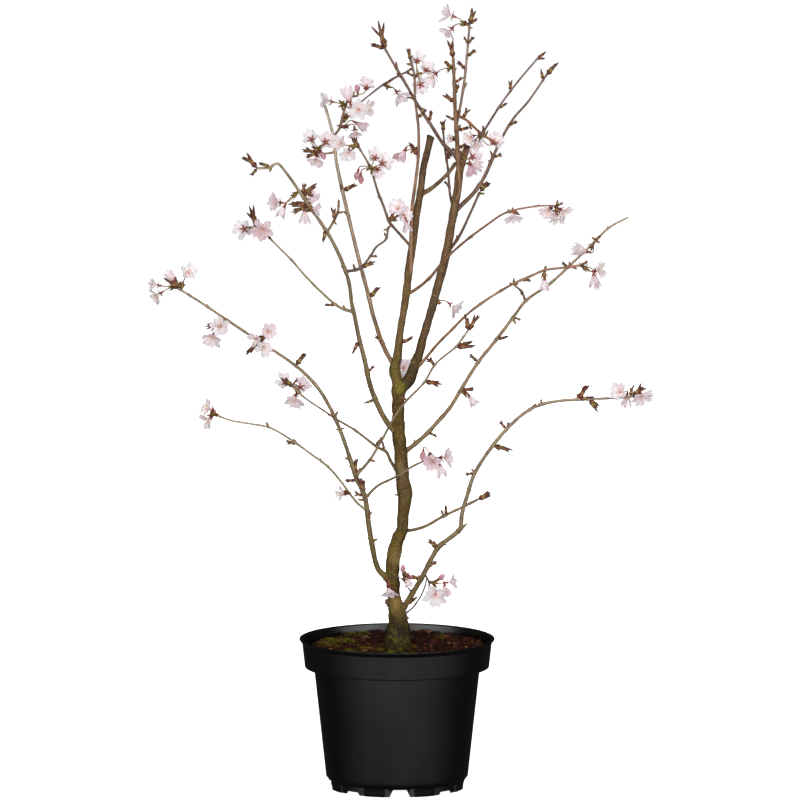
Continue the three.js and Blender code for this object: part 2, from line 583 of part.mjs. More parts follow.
const BLOSSOM = [
  { on: 'A3', at: [-219, 500], flowers: [
    [-244, 503, -4, 17, -80, 10, OPEN],
    [-241, 491, 3, 19, -60, -30, OPEN],
    [-226, 511, -8, 14, -150, 35, HALF],
  ] },
  { on: 'A3', at: [-217, 498], flowers: [
    [-208, 516, 6, 20, 20, 30, OPEN],
  ] },
  { on: 'A3', at: [-169, 466], flowers: [
    [-177, 461, -9, 22, -10, 0, OPEN],
    [-185, 448, -2, 24, -20, -35, OPEN],
  ] },
  { on: 'A3', at: [-138, 448], flowers: [
    [-128, 456, -7, 20, 20, 5, OPEN],
    [-142, 448, -5, 18, -35, -15, OPEN],
    [-133, 439, -13, 20, 5, -20, OPEN],
  ] },
  { on: 'A4', at: [-104, 401], flowers: [
    [-95, 403, 6, 20, 160, 15, OPEN],
    [-103, 386, -3, 24, -15, -45, OPEN],
  ] },
  { on: 'A4', at: [-104, 401], flowers: [
    [-114, 407, 11, 20, -160, 10, OPEN],
  ] },
  { on: 'A6', at: [-178, 372], flowers: [
    [-189, 380, -4, 20, -60, 25, OPEN],
    [-190, 367, -6, 20, -50, -25, OPEN],
  ] },
  { on: 'A6', at: [-47, 295], flowers: [
    [-56, 294, -7, 17, -60, 0, OPEN],
  ] },
  { on: 'A3', at: [-12, 213], flowers: [
    [-8, 195, -13, 22, 0, -65, OPEN],
  ] },
  { on: 'crossShoot', at: [6, 208], flowers: [
    [6, 219, 0, 7, 0, 85, BUDDED],
    [12, 204, -4, 12, 20, -70, HALF],
  ] },
  { on: 'B1hook', at: [32, 205], flowers: [
    [38, 191, -10, 26, -5, -20, OPEN],
    [49, 196, -3, 14, 20, -55, HALF],
    [56, 206, 3, 19, 85, 10, OPEN],
    [45, 211, 5, 7, 60, 35, BUDDED],
  ] },
  { on: 'A3front', at: [32.5, 335], flowers: [
    [26, 331, -4, 8, -20, -80, BUDDED],
    [35, 325, -10, 20, -10, -10, OPEN],
    [44, 316, -4, 15, 20, -60, HALF],
    [50, 330, 0, 22, 60, 5, OPEN],
  ] },
  { on: 'B3', at: [64, 397], flowers: [
    [76, 386, -3, 13, 60, -50, HALF],
  ] },
  { on: 'B1', at: [219, 389.5], flowers: [
    [221, 396, -6, 21, -30, 20, OPEN],
    [229, 386, 2, 14, -10, -50, HALF],
  ] },
  { on: 'B1', at: [235, 391], flowers: [
    [244, 389, -8, 22, 10, -35, OPEN],
    [251, 393, 4, 13, 80, 10, HALF],
  ] },
  { on: 'rightLeader', at: [39, 486], flowers: [
    [59, 479, 6, 23, 75, -35, OPEN],
  ] },
  { on: 'B5', at: [113, 575], flowers: [
    [116, 569, -3, 22, 10, -60, OPEN],
  ] },
  { on: 'B5', at: [159, 581], flowers: [
    [150, 574, -4, 20, -35, -35, OPEN],
    [167, 574, 1, 19, 50, -25, OPEN],
    [159, 567, -9, 18, 5, -60, OPEN],
  ] },
  { on: 'B3', at: [197, 545], flowers: [
    [183, 538, -5, 17, -70, 15, HALF],
  ] },
  { on: 'B4', at: [184, 522], flowers: [
    [203, 517, 2, 19, 65, 10, OPEN],
    [197, 505, -3, 16, 10, -60, HALF],
  ] },
  { on: 'B4', at: [147, 514], flowers: [
    [147, 502, -1, 13, 0, -80, HALF],
  ] },
  { on: 'leftLeader', at: [-2, 416], flowers: [
    [7, 420, 14, 22, 10, 10, OPEN],
  ] },
  { on: 'Ti', at: [-7, 566], flowers: [
    [0, 580, -6, 20, -15, 35, OPEN],
    [8, 572, -1, 20, 40, 10, OPEN],
    [10, 560, -3, 13, 30, -70, HALF],
  ] },
  { on: 'Ti', at: [-28, 622], flowers: [
    [-21, 632, 5, 20, 170, 20, OPEN],
    [-12, 625, 6, 21, 155, 5, OPEN],
    [-19, 615, 3, 16, 170, -40, OPEN],
    [-40, 611, -3, 7, -45, -70, BUDDED],
    [-36, 607, -1, 7, -10, -85, BUDDED],
  ] },
  { on: 'frontShoot', at: [14, 640], flowers: [
    [5, 631, -2, 14, -40, -50, HALF],
    [-1, 631, 1, 7, -80, -30, BUDDED],
  ] },
  { on: 'Tg', at: [-12, 701], flowers: [
    [4, 691, -3, 22, 50, -40, OPEN],
  ] },
  { on: 'frontShoot', at: [17, 710], flowers: [
    [21, 729, 6, 18, 170, 30, OPEN],
    [31, 719, 9, 18, 160, 20, OPEN],
    [24, 701, 4, 19, 175, -20, OPEN],
  ] },
  { on: 'Ta', at: [55, 720], flowers: [
    [34, 709, -17, 22, -50, -30, OPEN],
  ] },
  { on: 'Tb', at: [69, 764], flowers: [
    [50, 773, -2, 21, -75, 20, OPEN],
    [51, 754, -5, 21, -50, -40, OPEN],
  ] },
  { on: 'Ta', at: [61, 648], flowers: [
    [53, 649, 14, 12, -60, 10, OPEN],
  ] },
  { on: 'Tc', at: [81, 655], flowers: [
    [72, 649, -6, 17, -40, -10, OPEN],
    [79, 642, 4, 17, 30, -50, OPEN],
    [99, 647, -8, 20, 150, 20, OPEN],
  ] },
  { on: 'Ta', at: [62, 628], flowers: [
    [78, 632, 10, 18, 150, 10, OPEN],
    [80, 622, 14, 14, 80, -10, HALF],
    [74, 616, 6, 14, 20, -65, HALF],
  ] },
  { on: 'A1up', at: [-51, 683], flowers: [
    [-72, 687, -6, 21, -75, 10, OPEN],
    [-49, 693, -7, 18, -160, 50, HALF],
  ] },
  { on: 'A1up', at: [-49, 689], flowers: [
    [-30, 704, 3, 19, 170, 35, OPEN],
    [-40, 700, -2, 7, -20, 70, BUDDED],
  ] },
  { on: 'A1up', at: [-54, 670], flowers: [
    [-39, 678, -10, 24, -10, 0, OPEN],
    [-28, 680, -3, 20, 60, 0, OPEN],
  ] },
  { on: 'A1up', at: [-57, 661], flowers: [
    [-35, 662, -8, 14, 70, -25, HALF],
    [-42, 654, -5, 16, 10, -60, OPEN],
  ] },
  { on: 'A1left', at: [-79, 635], flowers: [
    [-87, 651, 5, 19, -165, 15, OPEN],
    [-70, 648, 6, 20, 165, 10, OPEN],
    [-81, 627, -4, 19, -15, -50, OPEN],
    [-74, 632, -1, 7, 40, -50, BUDDED],
  ] },
  { on: 'Ti', at: [-39, 641], flowers: [
    [-58, 644, 9, 19, -42, 18, OPEN],
    [-49, 632, 4, 20, -8, -36, OPEN],
  ] },
  { on: 'A2', at: [-98, 596], flowers: [
    [-122, 584, -7, 21, -65, 5, OPEN],
    [-115, 574, -9, 14, -40, -50, HALF],
  ] },
  { on: 'A2', at: [-93, 589], flowers: [
    [-84, 589, 9, 15, 40, 50, HALF],
  ] },
  { on: 'A2', at: [-90, 584], flowers: [
    [-80.5, 578, 1, 18, 80, -10, OPEN],
  ] },
  { on: 'A2', at: [-84, 575], flowers: [
    [-92, 569, -5, 15, 0, -75, HALF],
  ] },
  { on: 'A2left', at: [-140, 560], flowers: [
    [-155, 558, 5, 22, -160, -10, OPEN],
  ] },
  { on: 'A2left', at: [-127, 549], flowers: [
    [-135, 557, -10, 25, -5, -15, OPEN],
  ] },
  { on: 'B1', at: [23, 209], flowers: [
    [13, 210.5, 0, 6, -90, 4, BUDDED],
  ] },
];

// ---- small helpers ----

// A repeatable random number from 0 to 1 for each call of the function it returns.
function seededRandom(seed) {
  let state = seed;
  return () => {
    state = (state + 0x6d2b79f5) | 0;
    let t = Math.imul(state ^ (state >>> 15), 1 | state);
    t = (t + Math.imul(t ^ (t >>> 7), 61 | t)) ^ t;
    return ((t ^ (t >>> 14)) >>> 0) / 4294967296;
  };
}

const BACKWARD = new THREE.Vector3(0, 1, 0);
const UPWARD = new THREE.Vector3(0, 0, 1);

// The value at fraction t along a list of evenly spaced values.
function along(values, t) {
  const place = t * (values.length - 1);
  const low = Math.min(Math.floor(place), Math.max(values.length - 2, 0));
  const next = values[Math.min(low + 1, values.length - 1)];
  return values[low] + (next - values[low]) * (place - low);
}

// A point of the drawing plane, pushed back by its depth, in the tree's own frame.
function place(across, up, depth) {
  const height = (up - depth * Math.sin(DRAWING_LEAN)) / Math.cos(DRAWING_LEAN);
  return new THREE.Vector3(across, depth, height);
}

// Corner lists and triangle lists to a closed solid.
function solidOf(corners, triangles) {
  const vertProperties = new Float32Array(corners.flatMap((p) => [p.x, p.y, p.z]));
  return new Manifold(new wasm.Mesh({ numProp: 3, vertProperties, triVerts: new Uint32Array(triangles) }));
}

// A closed three.js geometry to a solid.
function solidOfGeometry(geometry) {
  const bare = geometry.index ? geometry.toNonIndexed() : geometry.clone();
  bare.deleteAttribute('normal');
  bare.deleteAttribute('uv');
  const merged = mergeVertices(bare, 1e-4);
  const vertProperties = new Float32Array(merged.attributes.position.array);
  const triVerts = new Uint32Array(merged.index.array);
  return new Manifold(new wasm.Mesh({ numProp: 3, vertProperties, triVerts }));
}

function geometryOf(solid) {
  const mesh = solid.getMesh();
  const geometry = new THREE.BufferGeometry();
  geometry.setAttribute('position', new THREE.BufferAttribute(mesh.vertProperties, 3));
  geometry.setIndex(new THREE.BufferAttribute(mesh.triVerts, 1));
  return geometry;
}

function largestPiece(solid) {
  return solid.decompose().reduce((best, piece) => (piece.volume() > best.volume() ? piece : best));
}

// Solids fused into one body: loose scraps go, and so do the slivers that the cuts leave.
function fused(solid) {
  return largestPiece(largestPiece(solid).simplify(SLIVER));
}

// Rings of corners, each with the same number of sides, skinned into a closed solid.
function skin(rings) {
  const sides = rings[0].length;
  const triangles = [];
  for (let ring = 0; ring < rings.length - 1; ring += 1) {
    for (let side = 0; side < sides; side += 1) {
      const a = ring * sides + side;
      const b = ring * sides + (side + 1) % sides;
      triangles.push(a, b, b + sides, a, b + sides, a + sides);
    }
  }
  const last = (rings.length - 1) * sides;
  for (let side = 1; side < sides - 1; side += 1) {
    triangles.push(0, side + 1, side, last, last + side, last + side + 1);
  }
  return solidOf(rings.flat(), triangles);
}

// A ring of corners round a point, square to the direction. Its first corner lies towards the
// reference, so that rings with one reference don't twist against each other.
function ringAround(centre, direction, radius, sides, reference = BACKWARD) {
  const across = reference.clone().addScaledVector(direction, -reference.dot(direction)).normalize();
  const other = direction.clone().cross(across);
  return Array.from({ length: sides }, (_, side) => {
    const angle = (side / sides) * 2 * Math.PI;
    return centre
      .clone()
      .addScaledVector(across, radius * Math.cos(angle))
      .addScaledVector(other, radius * Math.sin(angle));
  });
}

// A tapered tube whose rings stand on the corners of a line.
function taperedTube(line, radii, sides, grow = 0) {
  const last = line.length - 1;
  const rings = line.map((corner, i) => {
    const direction = line[Math.min(i + 1, last)].clone().sub(line[Math.max(i - 1, 0)]).normalize();
    const end = i === 0 ? -grow : i === last ? grow : 0;
    const centre = corner.clone().addScaledVector(direction, end);
    return ringAround(centre, direction, along(radii, i / last) + grow, sides);
  });
  return skin(rings);
}

// A four- or three-sided spindle with a point at each end.
function spindle(root, tip, radius, sides) {
  const direction = tip.clone().sub(root).normalize();
  const ring = ringAround(root.clone().lerp(tip, BUD.widest), direction, radius, sides);
  const triangles = [];
  for (let side = 0; side < sides; side += 1) {
    const next = (side + 1) % sides;
    triangles.push(sides, next, side, sides + 1, side, next);
  }
  return solidOf([...ring, root, tip], triangles);
}

// ---- the pot ----

// The radius of the pot's outer wall at a height below the collar.
function bodyRadius(z) {
  const rise = (z - POT.bodyLow) / (POT.collarBottom - POT.bodyLow);
  return POT.bodyLowRadius + (POT.bodyTopRadius - POT.bodyLowRadius) * rise;
}

function collarRadius(z) {
  const rise = (z - POT.collarBottom) / (POT.height - POT.collarBottom);
  return POT.collarBottomRadius + (POT.collarTopRadius - POT.collarBottomRadius) * rise;
}

// The notches in the foot, wider at the floor level than at their tops.
function notchShape({ height, widthTop, widthBottom }) {
  return new THREE.Shape([
    new THREE.Vector2(-widthBottom / 2, -NOTCH.below),
    new THREE.Vector2(widthBottom / 2, -NOTCH.below),
    new THREE.Vector2(widthTop / 2, height),
    new THREE.Vector2(-widthTop / 2, height),
  ]);
}

function footNotches() {
  const reach = POT.footThickness + 2 * NOTCH.slack;
  const notches = [];
  for (let i = 0; i < NOTCH.count; i += 1) {
    const shape = notchShape(i % 2 === 0 ? NOTCH.high : NOTCH.low);
    const block = new THREE.ExtrudeGeometry(shape, { depth: reach, bevelEnabled: false });
    block.rotateX(Math.PI / 2);
    block.translate(0, -POT.footRadius + reach - NOTCH.slack, 0);
    block.rotateZ(THREE.MathUtils.degToRad(NOTCH.turn) + (i / NOTCH.count) * 2 * Math.PI);
    notches.push(solidOfGeometry(block));
  }
  return Manifold.union(notches);
}

function drainHoles() {
  const holes = [];
  for (let i = 0; i < NOTCH.count; i += 1) {
    const hole = new THREE.CylinderGeometry(POT.drainHoleRadius, POT.drainHoleRadius, POT.drainHoleCut, 6);
    hole.rotateX(Math.PI / 2);
    hole.translate(0, POT.drainHoleCircle, POT.floor);
    hole.rotateZ(((i + 0.5) / NOTCH.count) * 2 * Math.PI);
    holes.push(solidOfGeometry(hole));
  }
  return Manifold.union(holes);
}

// One closed wall: up the outside, over the lip, down the inside, across the floor and back.
function nurseryPot() {
  const { wall, floor, height, lipDepth } = POT;
  const ledge = POT.collarBottom + wall;
  const profile = [
    [0, floor],
    [POT.footRadius - POT.footThickness, floor],
    [POT.footRadius - POT.footThickness, 0],
    [POT.footRadius, 0],
    [POT.heelRadius, POT.heel],
    [POT.bodyLowRadius, POT.bodyLow],
    [POT.bodyTopRadius, POT.collarBottom],
    [POT.collarBottomRadius, POT.collarBottom],
    [collarRadius(height - lipDepth), height - lipDepth],
    [POT.lipRadius, height - lipDepth + POT.lipChamfer],
    [POT.lipRadius - POT.lipChamfer, height],
    [POT.lipRadius - POT.lipThickness, height],
    [POT.collarBottomRadius - wall, ledge],
    [POT.bodyTopRadius - wall, ledge],
    [bodyRadius(floor + wall) - wall - POT.cornerFill, floor + wall],
    [0, floor + wall],
  ];
  const lathe = new THREE.LatheGeometry(profile.map(([r, z]) => new THREE.Vector2(r, z)), POT.sides);
  lathe.rotateX(Math.PI / 2);
  return solidOfGeometry(lathe).subtract(footNotches()).subtract(drainHoles());
}

// ---- the potting compost ----

function soilHeight(x, y) {
  const broad = Math.sin(x * 0.13 + 1.2) * Math.cos(y * 0.11 - 0.6);
  const small = 0.6 * Math.sin(x * 0.29 + y * 0.23);
  return SOIL.crown + SOIL.backRise * y + SOIL.bump * (broad + small);
}

function pottingSoil(trunkHole) {
  const under = POT.floor + POT.wall + GAP;
  const ledge = POT.collarBottom + POT.wall + GAP;
  const ring = (radius, z) => Array.from({ length: POT.sides }, (_, side) => {
    const angle = (side / POT.sides) * 2 * Math.PI;
    const x = radius * Math.sin(angle);
    const y = -radius * Math.cos(angle);
    return new THREE.Vector3(x, y, z ?? soilHeight(x, y));
  });
  const slack = POT.wall + GAP + SOIL.slack;
  const rim = collarRadius(SOIL.crown - SOIL.edgeDrop) - slack;
  const rings = [
    ring(bodyRadius(under) - slack - POT.cornerFill, under),
    ring(POT.bodyTopRadius - slack, ledge),
    ring(POT.collarBottomRadius - slack, ledge),
    ring(rim),
    ...SOIL.rings.toReversed().map((radius) => ring(radius)),
  ];
  return skin(rings).subtract(trunkHole);
}

// ---- the wood ----

// How round a limb's tube is, and how far apart its rings stand.
function fineness({ name, radius }) {
  if (name.endsWith('Leader')) return { sides: WOOD.leaderSides, step: STEP.leader };
  if (radius[0] < WOOD.thinShoot) return { sides: WOOD.shootSides, step: STEP.shoot };
  return { sides: WOOD.branchSides, step: STEP.branch };
}

// The corners of a smooth line through the points, about one step apart.
function smoothLine(points, step) {
  const curve = new THREE.CatmullRomCurve3(points, false, 'centripetal');
  return curve.getSpacedPoints(Math.max(2, Math.round(curve.getLength() / step)));
}

// A path of the drawing plane in space, its depths spaced evenly along it.
function inSpace(path, depth) {
  const lengths = [0];
  for (let i = 1; i < path.length; i += 1) {
    lengths.push(lengths[i - 1] + Math.hypot(path[i][0] - path[i - 1][0], path[i][1] - path[i - 1][1]));
  }
  return path.map(([across, up], i) => place(across, up, along(depth, lengths[i] / lengths.at(-1))));
}

// The point of a line that looks nearest to a point of the drawing plane.
function nearestOn(line, across, up) {
  let best = line[0];
  let least = Infinity;
  for (let i = 0; i < line.length - 1; i += 1) {
    for (let t = 0; t <= 1; t += 0.05) {
      const point = line[i].clone().lerp(line[i + 1], t);
      const height = point.z * Math.cos(DRAWING_LEAN) + point.y * Math.sin(DRAWING_LEAN);
      const gap = Math.hypot(point.x - across, height - up);
      if (gap < least) {
        least = gap;
        best = point;
      }
    }
  }
  return best;
}

// The middle line of every limb: each one starts on the line of the limb it grows from.
function layOutLines() {
  const lines = { trunk: inSpace(TRUNK, TRUNK_DEPTH) };
  for (const entry of LIMBS) {
    const start = nearestOn(lines[entry.from], ...entry.path[0]);
    const points = inSpace(entry.path, [start.y, ...entry.depth]);
    lines[entry.name] = smoothLine([start, ...points.slice(1)], fineness(entry).step);
  }
  return lines;
}

const LINES = layOutLines();

function trunk(grow = 0) {
  const rings = LINES.trunk.map((corner, i) => {
    const centre = i === 0 ? corner.clone().addScaledVector(UPWARD, -grow) : corner;
    return ringAround(centre, UPWARD, TRUNK[i][2] + grow, WOOD.trunkSides);
  });
  return skin(rings);
}

function limb(entry, grow = 0) {
  return taperedTube(LINES[entry.name], entry.radius, fineness(entry).sides, grow);
}

// The leaf buds of one spur: each stands on the limb's middle line and points at its own tip.
function leafBuds(limbName, [root, ...tips], random, grow = 0) {
  const start = nearestOn(LINES[limbName], ...root);
  const buds = [];
  tips.forEach(([tipAcross, tipUp], i) => {
    const length = Math.hypot(tipAcross - root[0], tipUp - root[1]);
    const side = i % 2 ? BUD.backward : BUD.forward;
    const lean = (random() - 0.5 + side) * length * BUD.spread;
    if (length < BUD.shortest) return;
    const tip = place(tipAcross, tipUp, start.y + lean);
    const radius = Math.min(BUD.most, Math.max(BUD.least, length * BUD.girth)) + grow;
    const outward = tip.clone().sub(start).setLength(grow);
    buds.push(spindle(start, tip.add(outward), radius, length > BUD.fourSided ? 4 : 3));
  });
  return buds;
}

// The whole of the wood, fused. grow makes a slightly fatter copy, for cutting clear of it.
function treeWood(grow = 0) {
  const random = seededRandom(SEED.leafBuds);
  const pieces = [trunk(grow), ...LIMBS.map((entry) => limb(entry, grow))];
  for (const [limbName, spurs] of Object.entries(SPURS)) {
    for (const spur of spurs) pieces.push(...leafBuds(limbName, spur, random, grow));
  }
  return Manifold.union(pieces);
}

// ---- the blossom ----

// Shape of each form: the height of its middle, then [reach, height] of the cleft, the shoulders and
// the notch, all as shares of the flower's radius, and half a petal's width in degrees.
const FORMS = {
  [OPEN]: {
    heart: -0.42, seat: -0.6, cleft: [0.36, -0.2], shoulder: [0.98, 0.12], notch: [0.84, 0.06], spread: 22,
  },
  [HALF]: {
    heart: -0.85, seat: -1.05, cleft: [0.4, -0.35], shoulder: [0.8, 0.62], notch: [0.7, 0.5], spread: 24,
  },
  [BUDDED]: { seat: -1.2 },
};
// [height, reach] of the rings of a closed flower bud, as shares of its radius.
const BUD_PROFILE = [[-1.3, 0.3], [0.1, 0.9], [1.3, 0.25]];

function facing(yaw, pitch) {
  const turn = THREE.MathUtils.degToRad(yaw);
  const rise = THREE.MathUtils.degToRad(pitch);
  return new THREE.Vector3(Math.sin(turn) * Math.cos(rise), -Math.cos(turn) * Math.cos(rise), Math.sin(rise));
}

// The upper outline of a cup of petals: for each petal the cleft beside it, then its two shoulders,
// with a notch between them where the flower is large enough.
function petalOutline(corner, shape, turn, notched, random) {
  const spread = THREE.MathUtils.degToRad(shape.spread);
  const outline = [];
  for (let petal = 0; petal < PETAL.count; petal += 1) {
    const middle = turn + (petal / PETAL.count) * 2 * Math.PI;
    const lift = (random() - 0.5) * PETAL.unevenLift;
    const stretch = 1 - random() * PETAL.unevenReach;
    outline.push(corner(middle - Math.PI / PETAL.count, shape.cleft));
    outline.push(corner(middle - spread, shape.shoulder, stretch, lift));
    if (notched) outline.push(corner(middle, shape.notch, stretch, lift));
    outline.push(corner(middle + spread, shape.shoulder, stretch, lift));
  }
  return outline;
}

// The rings of a thin stalk that leaves its hub, bends, and swells into the calyx.
function stalkRings(hub, seat, axis, reference) {
  const calyxStart = seat.clone().addScaledVector(axis, -STALK.calyxLength);
  const bend = calyxStart.clone().addScaledVector(axis, -STALK.bend * hub.distanceTo(calyxStart));
  const curve = new THREE.QuadraticBezierCurve3(hub, bend, calyxStart);
  const places = hub.distanceTo(calyxStart) < STALK.straight ? [0, 1] : [0, 0.5, 1];
  const rings = places.map((t) => (
    ringAround(curve.getPoint(t), curve.getTangent(t).normalize(), STALK.radius, 3, reference)));
  return [...rings, ringAround(seat, axis, STALK.calyxRadius, 3, reference)];
}

// A direction square to the axis and to the whole of its stalk.
function sideways(axis, stalk) {
  const side = axis.clone().cross(stalk);
  return side.lengthSq() > 1e-3 ? side.normalize() : axis.clone().cross(UPWARD).normalize();
}

// An open or half open flower on its stalk, as one closed solid. Both faces of a petal have the same
// triangles, and the under face meets the calyx.
function flower({ centre, axis, radius, form, seat }, hub, random) {
  const shape = FORMS[form];
  const reference = sideways(axis, seat.clone().sub(hub));
  const other = axis.clone().cross(reference);
  const corner = (angle, [reach, height], stretch = 1, lift = 0) => centre
    .clone()
    .addScaledVector(reference, radius * reach * stretch * Math.cos(angle))
    .addScaledVector(other, radius * reach * stretch * Math.sin(angle))
    .addScaledVector(axis, radius * (height + lift));
  const turn = random() * 2 * Math.PI;
  const upper = petalOutline(corner, shape, turn, radius >= PETAL.notchedFrom, random);
  const lower = upper.map((point) => point.clone().addScaledVector(axis, -PETAL.thickness));
  const rings = stalkRings(hub, seat, axis, reference).flat();
  const corners = [...upper, ...lower, corner(0, [0, shape.heart]), ...rings];

  const count = upper.length;
  const each = count / PETAL.count;
  const heart = 2 * count;
  const stalk = heart + 1;
  const calyx = corners.length - 3;
  const triangles = [stalk, stalk + 2, stalk + 1];
  for (let i = stalk; i < calyx; i += 3) {
    for (let side = 0; side < 3; side += 1) {
      const a = i + side;
      const b = i + ((side + 1) % 3);
      triangles.push(a, b, b + 3, a, b + 3, a + 3);
    }
  }
  const nearestSide = (petal) => Math.round((turn / (2 * Math.PI) + (petal - 0.5) / PETAL.count) * 3) % 3;
  for (let petal = 0; petal < PETAL.count; petal += 1) {
    const first = petal * each;
    const next = (first + each) % count;
    const side = calyx + nearestSide(petal);
    const nextSide = calyx + nearestSide(petal + 1);
    triangles.push(heart, first, next, side, count + next, count + first);
    if (side !== nextSide) triangles.push(side, nextSide, count + next);
    for (let i = 0; i < each - 1; i += 1) {
      const [a, b] = [first + i, first + i + 1];
      triangles.push(a, b, next, count + a, count + next, count + b);
    }
  }
  for (let i = 0; i < count; i += 1) {
    const next = (i + 1) % count;
    triangles.push(i, count + i, count + next, i, count + next, next);
  }
  return solidOf(corners, triangles);
}

// A closed flower bud on its stalk.
function flowerBud({ centre, axis, radius }, hub) {
  const reference = sideways(axis, centre.clone().sub(hub));
  const ring = (height, reach) => (
    ringAround(centre.clone().addScaledVector(axis, radius * height), axis, radius * reach, 4, reference));
  const start = ringAround(hub, centre.clone().sub(hub).normalize(), STALK.radius, 4, reference);
  return skin([start, ...BUD_PROFILE.map(([height, reach]) => ring(height, reach))]);
}

// Where a flower stands, which way it faces, and where its stalk reaches it.
function settle([across, up, behind, width, yaw, pitch, form], root) {
  const centre = place(across, up, root.y + behind);
  const axis = facing(yaw, pitch);
  const radius = width / 2;
  const seat = centre.clone().addScaledVector(axis, radius * FORMS[form].seat);
  return { centre, axis, radius, form, seat };
}

// A short stub that the stalks of one spur's flowers stand on.
function stub(root, hub) {
  const direction = hub.clone().sub(root).normalize();
  const end = hub.clone().addScaledVector(direction, STALK.stubEnd);
  return skin([
    ringAround(root, direction, STALK.stubRadius, 4, UPWARD),
    ringAround(end, direction, STALK.stubRadius * STALK.stubTaper, 4, UPWARD),
  ]);
}

// All flowers of one spur, fused where their stalks meet and cut clear of the wood.
function blossomCluster({ on, at, flowers }, fatWood, random) {
  const root = nearestOn(LINES[on], ...at);
  const settled = flowers.map((entry) => settle(entry, root));
  const middle = settled.reduce((sum, { seat }) => sum.add(seat), new THREE.Vector3());
  const outward = middle.divideScalar(settled.length).sub(root).setLength(STALK.stubReach);
  const hub = settled.length > 1 ? root.clone().add(outward) : root;
  const pieces = settled.map((bloom) => (
    bloom.form === BUDDED ? flowerBud(bloom, hub) : flower(bloom, hub, random)));
  if (settled.length > 1) pieces.push(stub(root, hub));
  return fused(Manifold.union(pieces).subtract(fatWood));
}

// ---- the object ----

function finish(color, roughness) {
  return new THREE.MeshStandardMaterial({ color, roughness, metalness: 0 });
}

function piece(name, solid, material) {
  const mesh = new THREE.Mesh(geometryOf(solid), material);
  mesh.name = name;
  return mesh;
}

const plant = new THREE.Group();
plant.add(piece('nursery_pot', nurseryPot(), finish(0x17181a, 0.55)));
plant.add(piece('potting_soil', pottingSoil(trunk(GAP)), finish(0x3a2119, 0.95)));
plant.add(piece('tree_wood', fused(treeWood()), finish(0x6a5534, 0.85)));

const fatWood = treeWood(GAP);
const random = seededRandom(SEED.blossom);
const petalFinish = finish(0xeedde5, 0.6);
BLOSSOM.forEach((cluster, i) => {
  const name = `blossom_cluster_${String(i + 1).padStart(2, '0')}`;
  plant.add(piece(name, blossomCluster(cluster, fatWood, random), petalFinish));
});

export default plant;
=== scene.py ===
# Young flowering cherry in a round nursery pot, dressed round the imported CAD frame.
# Sizes are in millimetres and are turned into metres where a mesh is made.
import math

import bmesh
import bpy
import numpy as np
from numpy.linalg import norm
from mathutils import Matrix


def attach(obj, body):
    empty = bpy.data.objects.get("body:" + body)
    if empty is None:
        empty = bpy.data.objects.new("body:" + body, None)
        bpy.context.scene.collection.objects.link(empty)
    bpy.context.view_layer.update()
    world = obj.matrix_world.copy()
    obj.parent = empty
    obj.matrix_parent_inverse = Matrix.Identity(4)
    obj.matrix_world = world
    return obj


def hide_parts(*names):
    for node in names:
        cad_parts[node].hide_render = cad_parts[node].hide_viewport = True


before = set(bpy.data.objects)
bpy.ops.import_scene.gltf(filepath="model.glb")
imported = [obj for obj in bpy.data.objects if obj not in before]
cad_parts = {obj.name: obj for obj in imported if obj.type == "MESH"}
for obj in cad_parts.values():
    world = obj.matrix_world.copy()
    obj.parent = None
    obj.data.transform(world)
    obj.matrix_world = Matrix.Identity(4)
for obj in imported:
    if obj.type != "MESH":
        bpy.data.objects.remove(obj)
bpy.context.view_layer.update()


# ---- driving dimensions ----

MM = 0.001  # metres in a millimetre
TURN = 2 * math.pi

POT = dict(
    height=151, lip_radius=98, lip_thickness=3.2, collar_top=95.5, collar_bottom=92.3, collar_z=122.3,
    body_top=83.2, body_low=71.2, body_low_z=13, foot_radius=67.4, foot_thickness=2.4, wall=1.5, floor=7.8,
)
NOTCH = dict(count=8, turn=2.5, high=(7.4, 11.6, 20), low=(2.9, 13, 17), panel=31, panel_depth=1.5)
SOIL = dict(crown=139.5, back_rise=0.045, bump=1.6, gap=0.4, side_gap=0.5, corners=220, rings=60)
BUD = dict(spread=0.5, forward=-0.2, backward=0.4)
STALK = dict(radius=0.5, bend=0.35, calyx_length=3, stub_reach=4.2, lone_reach=1.5)
PETALS = 5
UNEVEN_LIFT = 0.3
UNEVEN_REACH = 0.12
# Seeds: the first are those of the CAD solids, the others are for what only the looks have.
SEED = dict(leaf_buds=11, blossom=5)
LOOK_SEED = dict(crumb=3, fibres=21, chips=22, moss=23, buds=31, trunk=40, limbs=50, flowers=60, knobs=90)

# Routes are laid out on a drawing plane that leans back by this angle. A route point is
# (across, up) on that plane, and its depth is how far it lies behind the pot's axis.
DRAWING_LEAN = math.radians(8.6)

OPEN, HALF, CLOSED = "open", "half open", "closed"

# The trunk, from its foot in the compost up to the fork: across, up, radius.
TRUNK = [
    (0.5, 104, 14), (0.5, 140, 14), (0.6, 149, 13.4), (1.2, 158, 12.2), (1.4, 166, 9.8), (0.5, 173, 9),
    (-0.5, 179, 8.4), (-2.5, 188, 6.7), (-3.8, 200, 6.6), (-4.5, 214, 6.6), (-3.8, 228, 7.2),
    (-2, 238, 7), (0.8, 248, 6.3), (5, 258, 6), (6, 272, 5.8), (7.2, 284, 6.2), (8, 293, 7.9),
    (6.6, 302, 7), (4.8, 318, 6.8), (3.6, 336, 6.5), (1.4, 356, 6.8), (1.2, 372, 6.2),
    (1.2, 388, 6.2), (2, 398, 7.4), (4.5, 406, 6.5),
]
TRUNK_DEPTH = [0, 0, -2, 0, 2, 1]

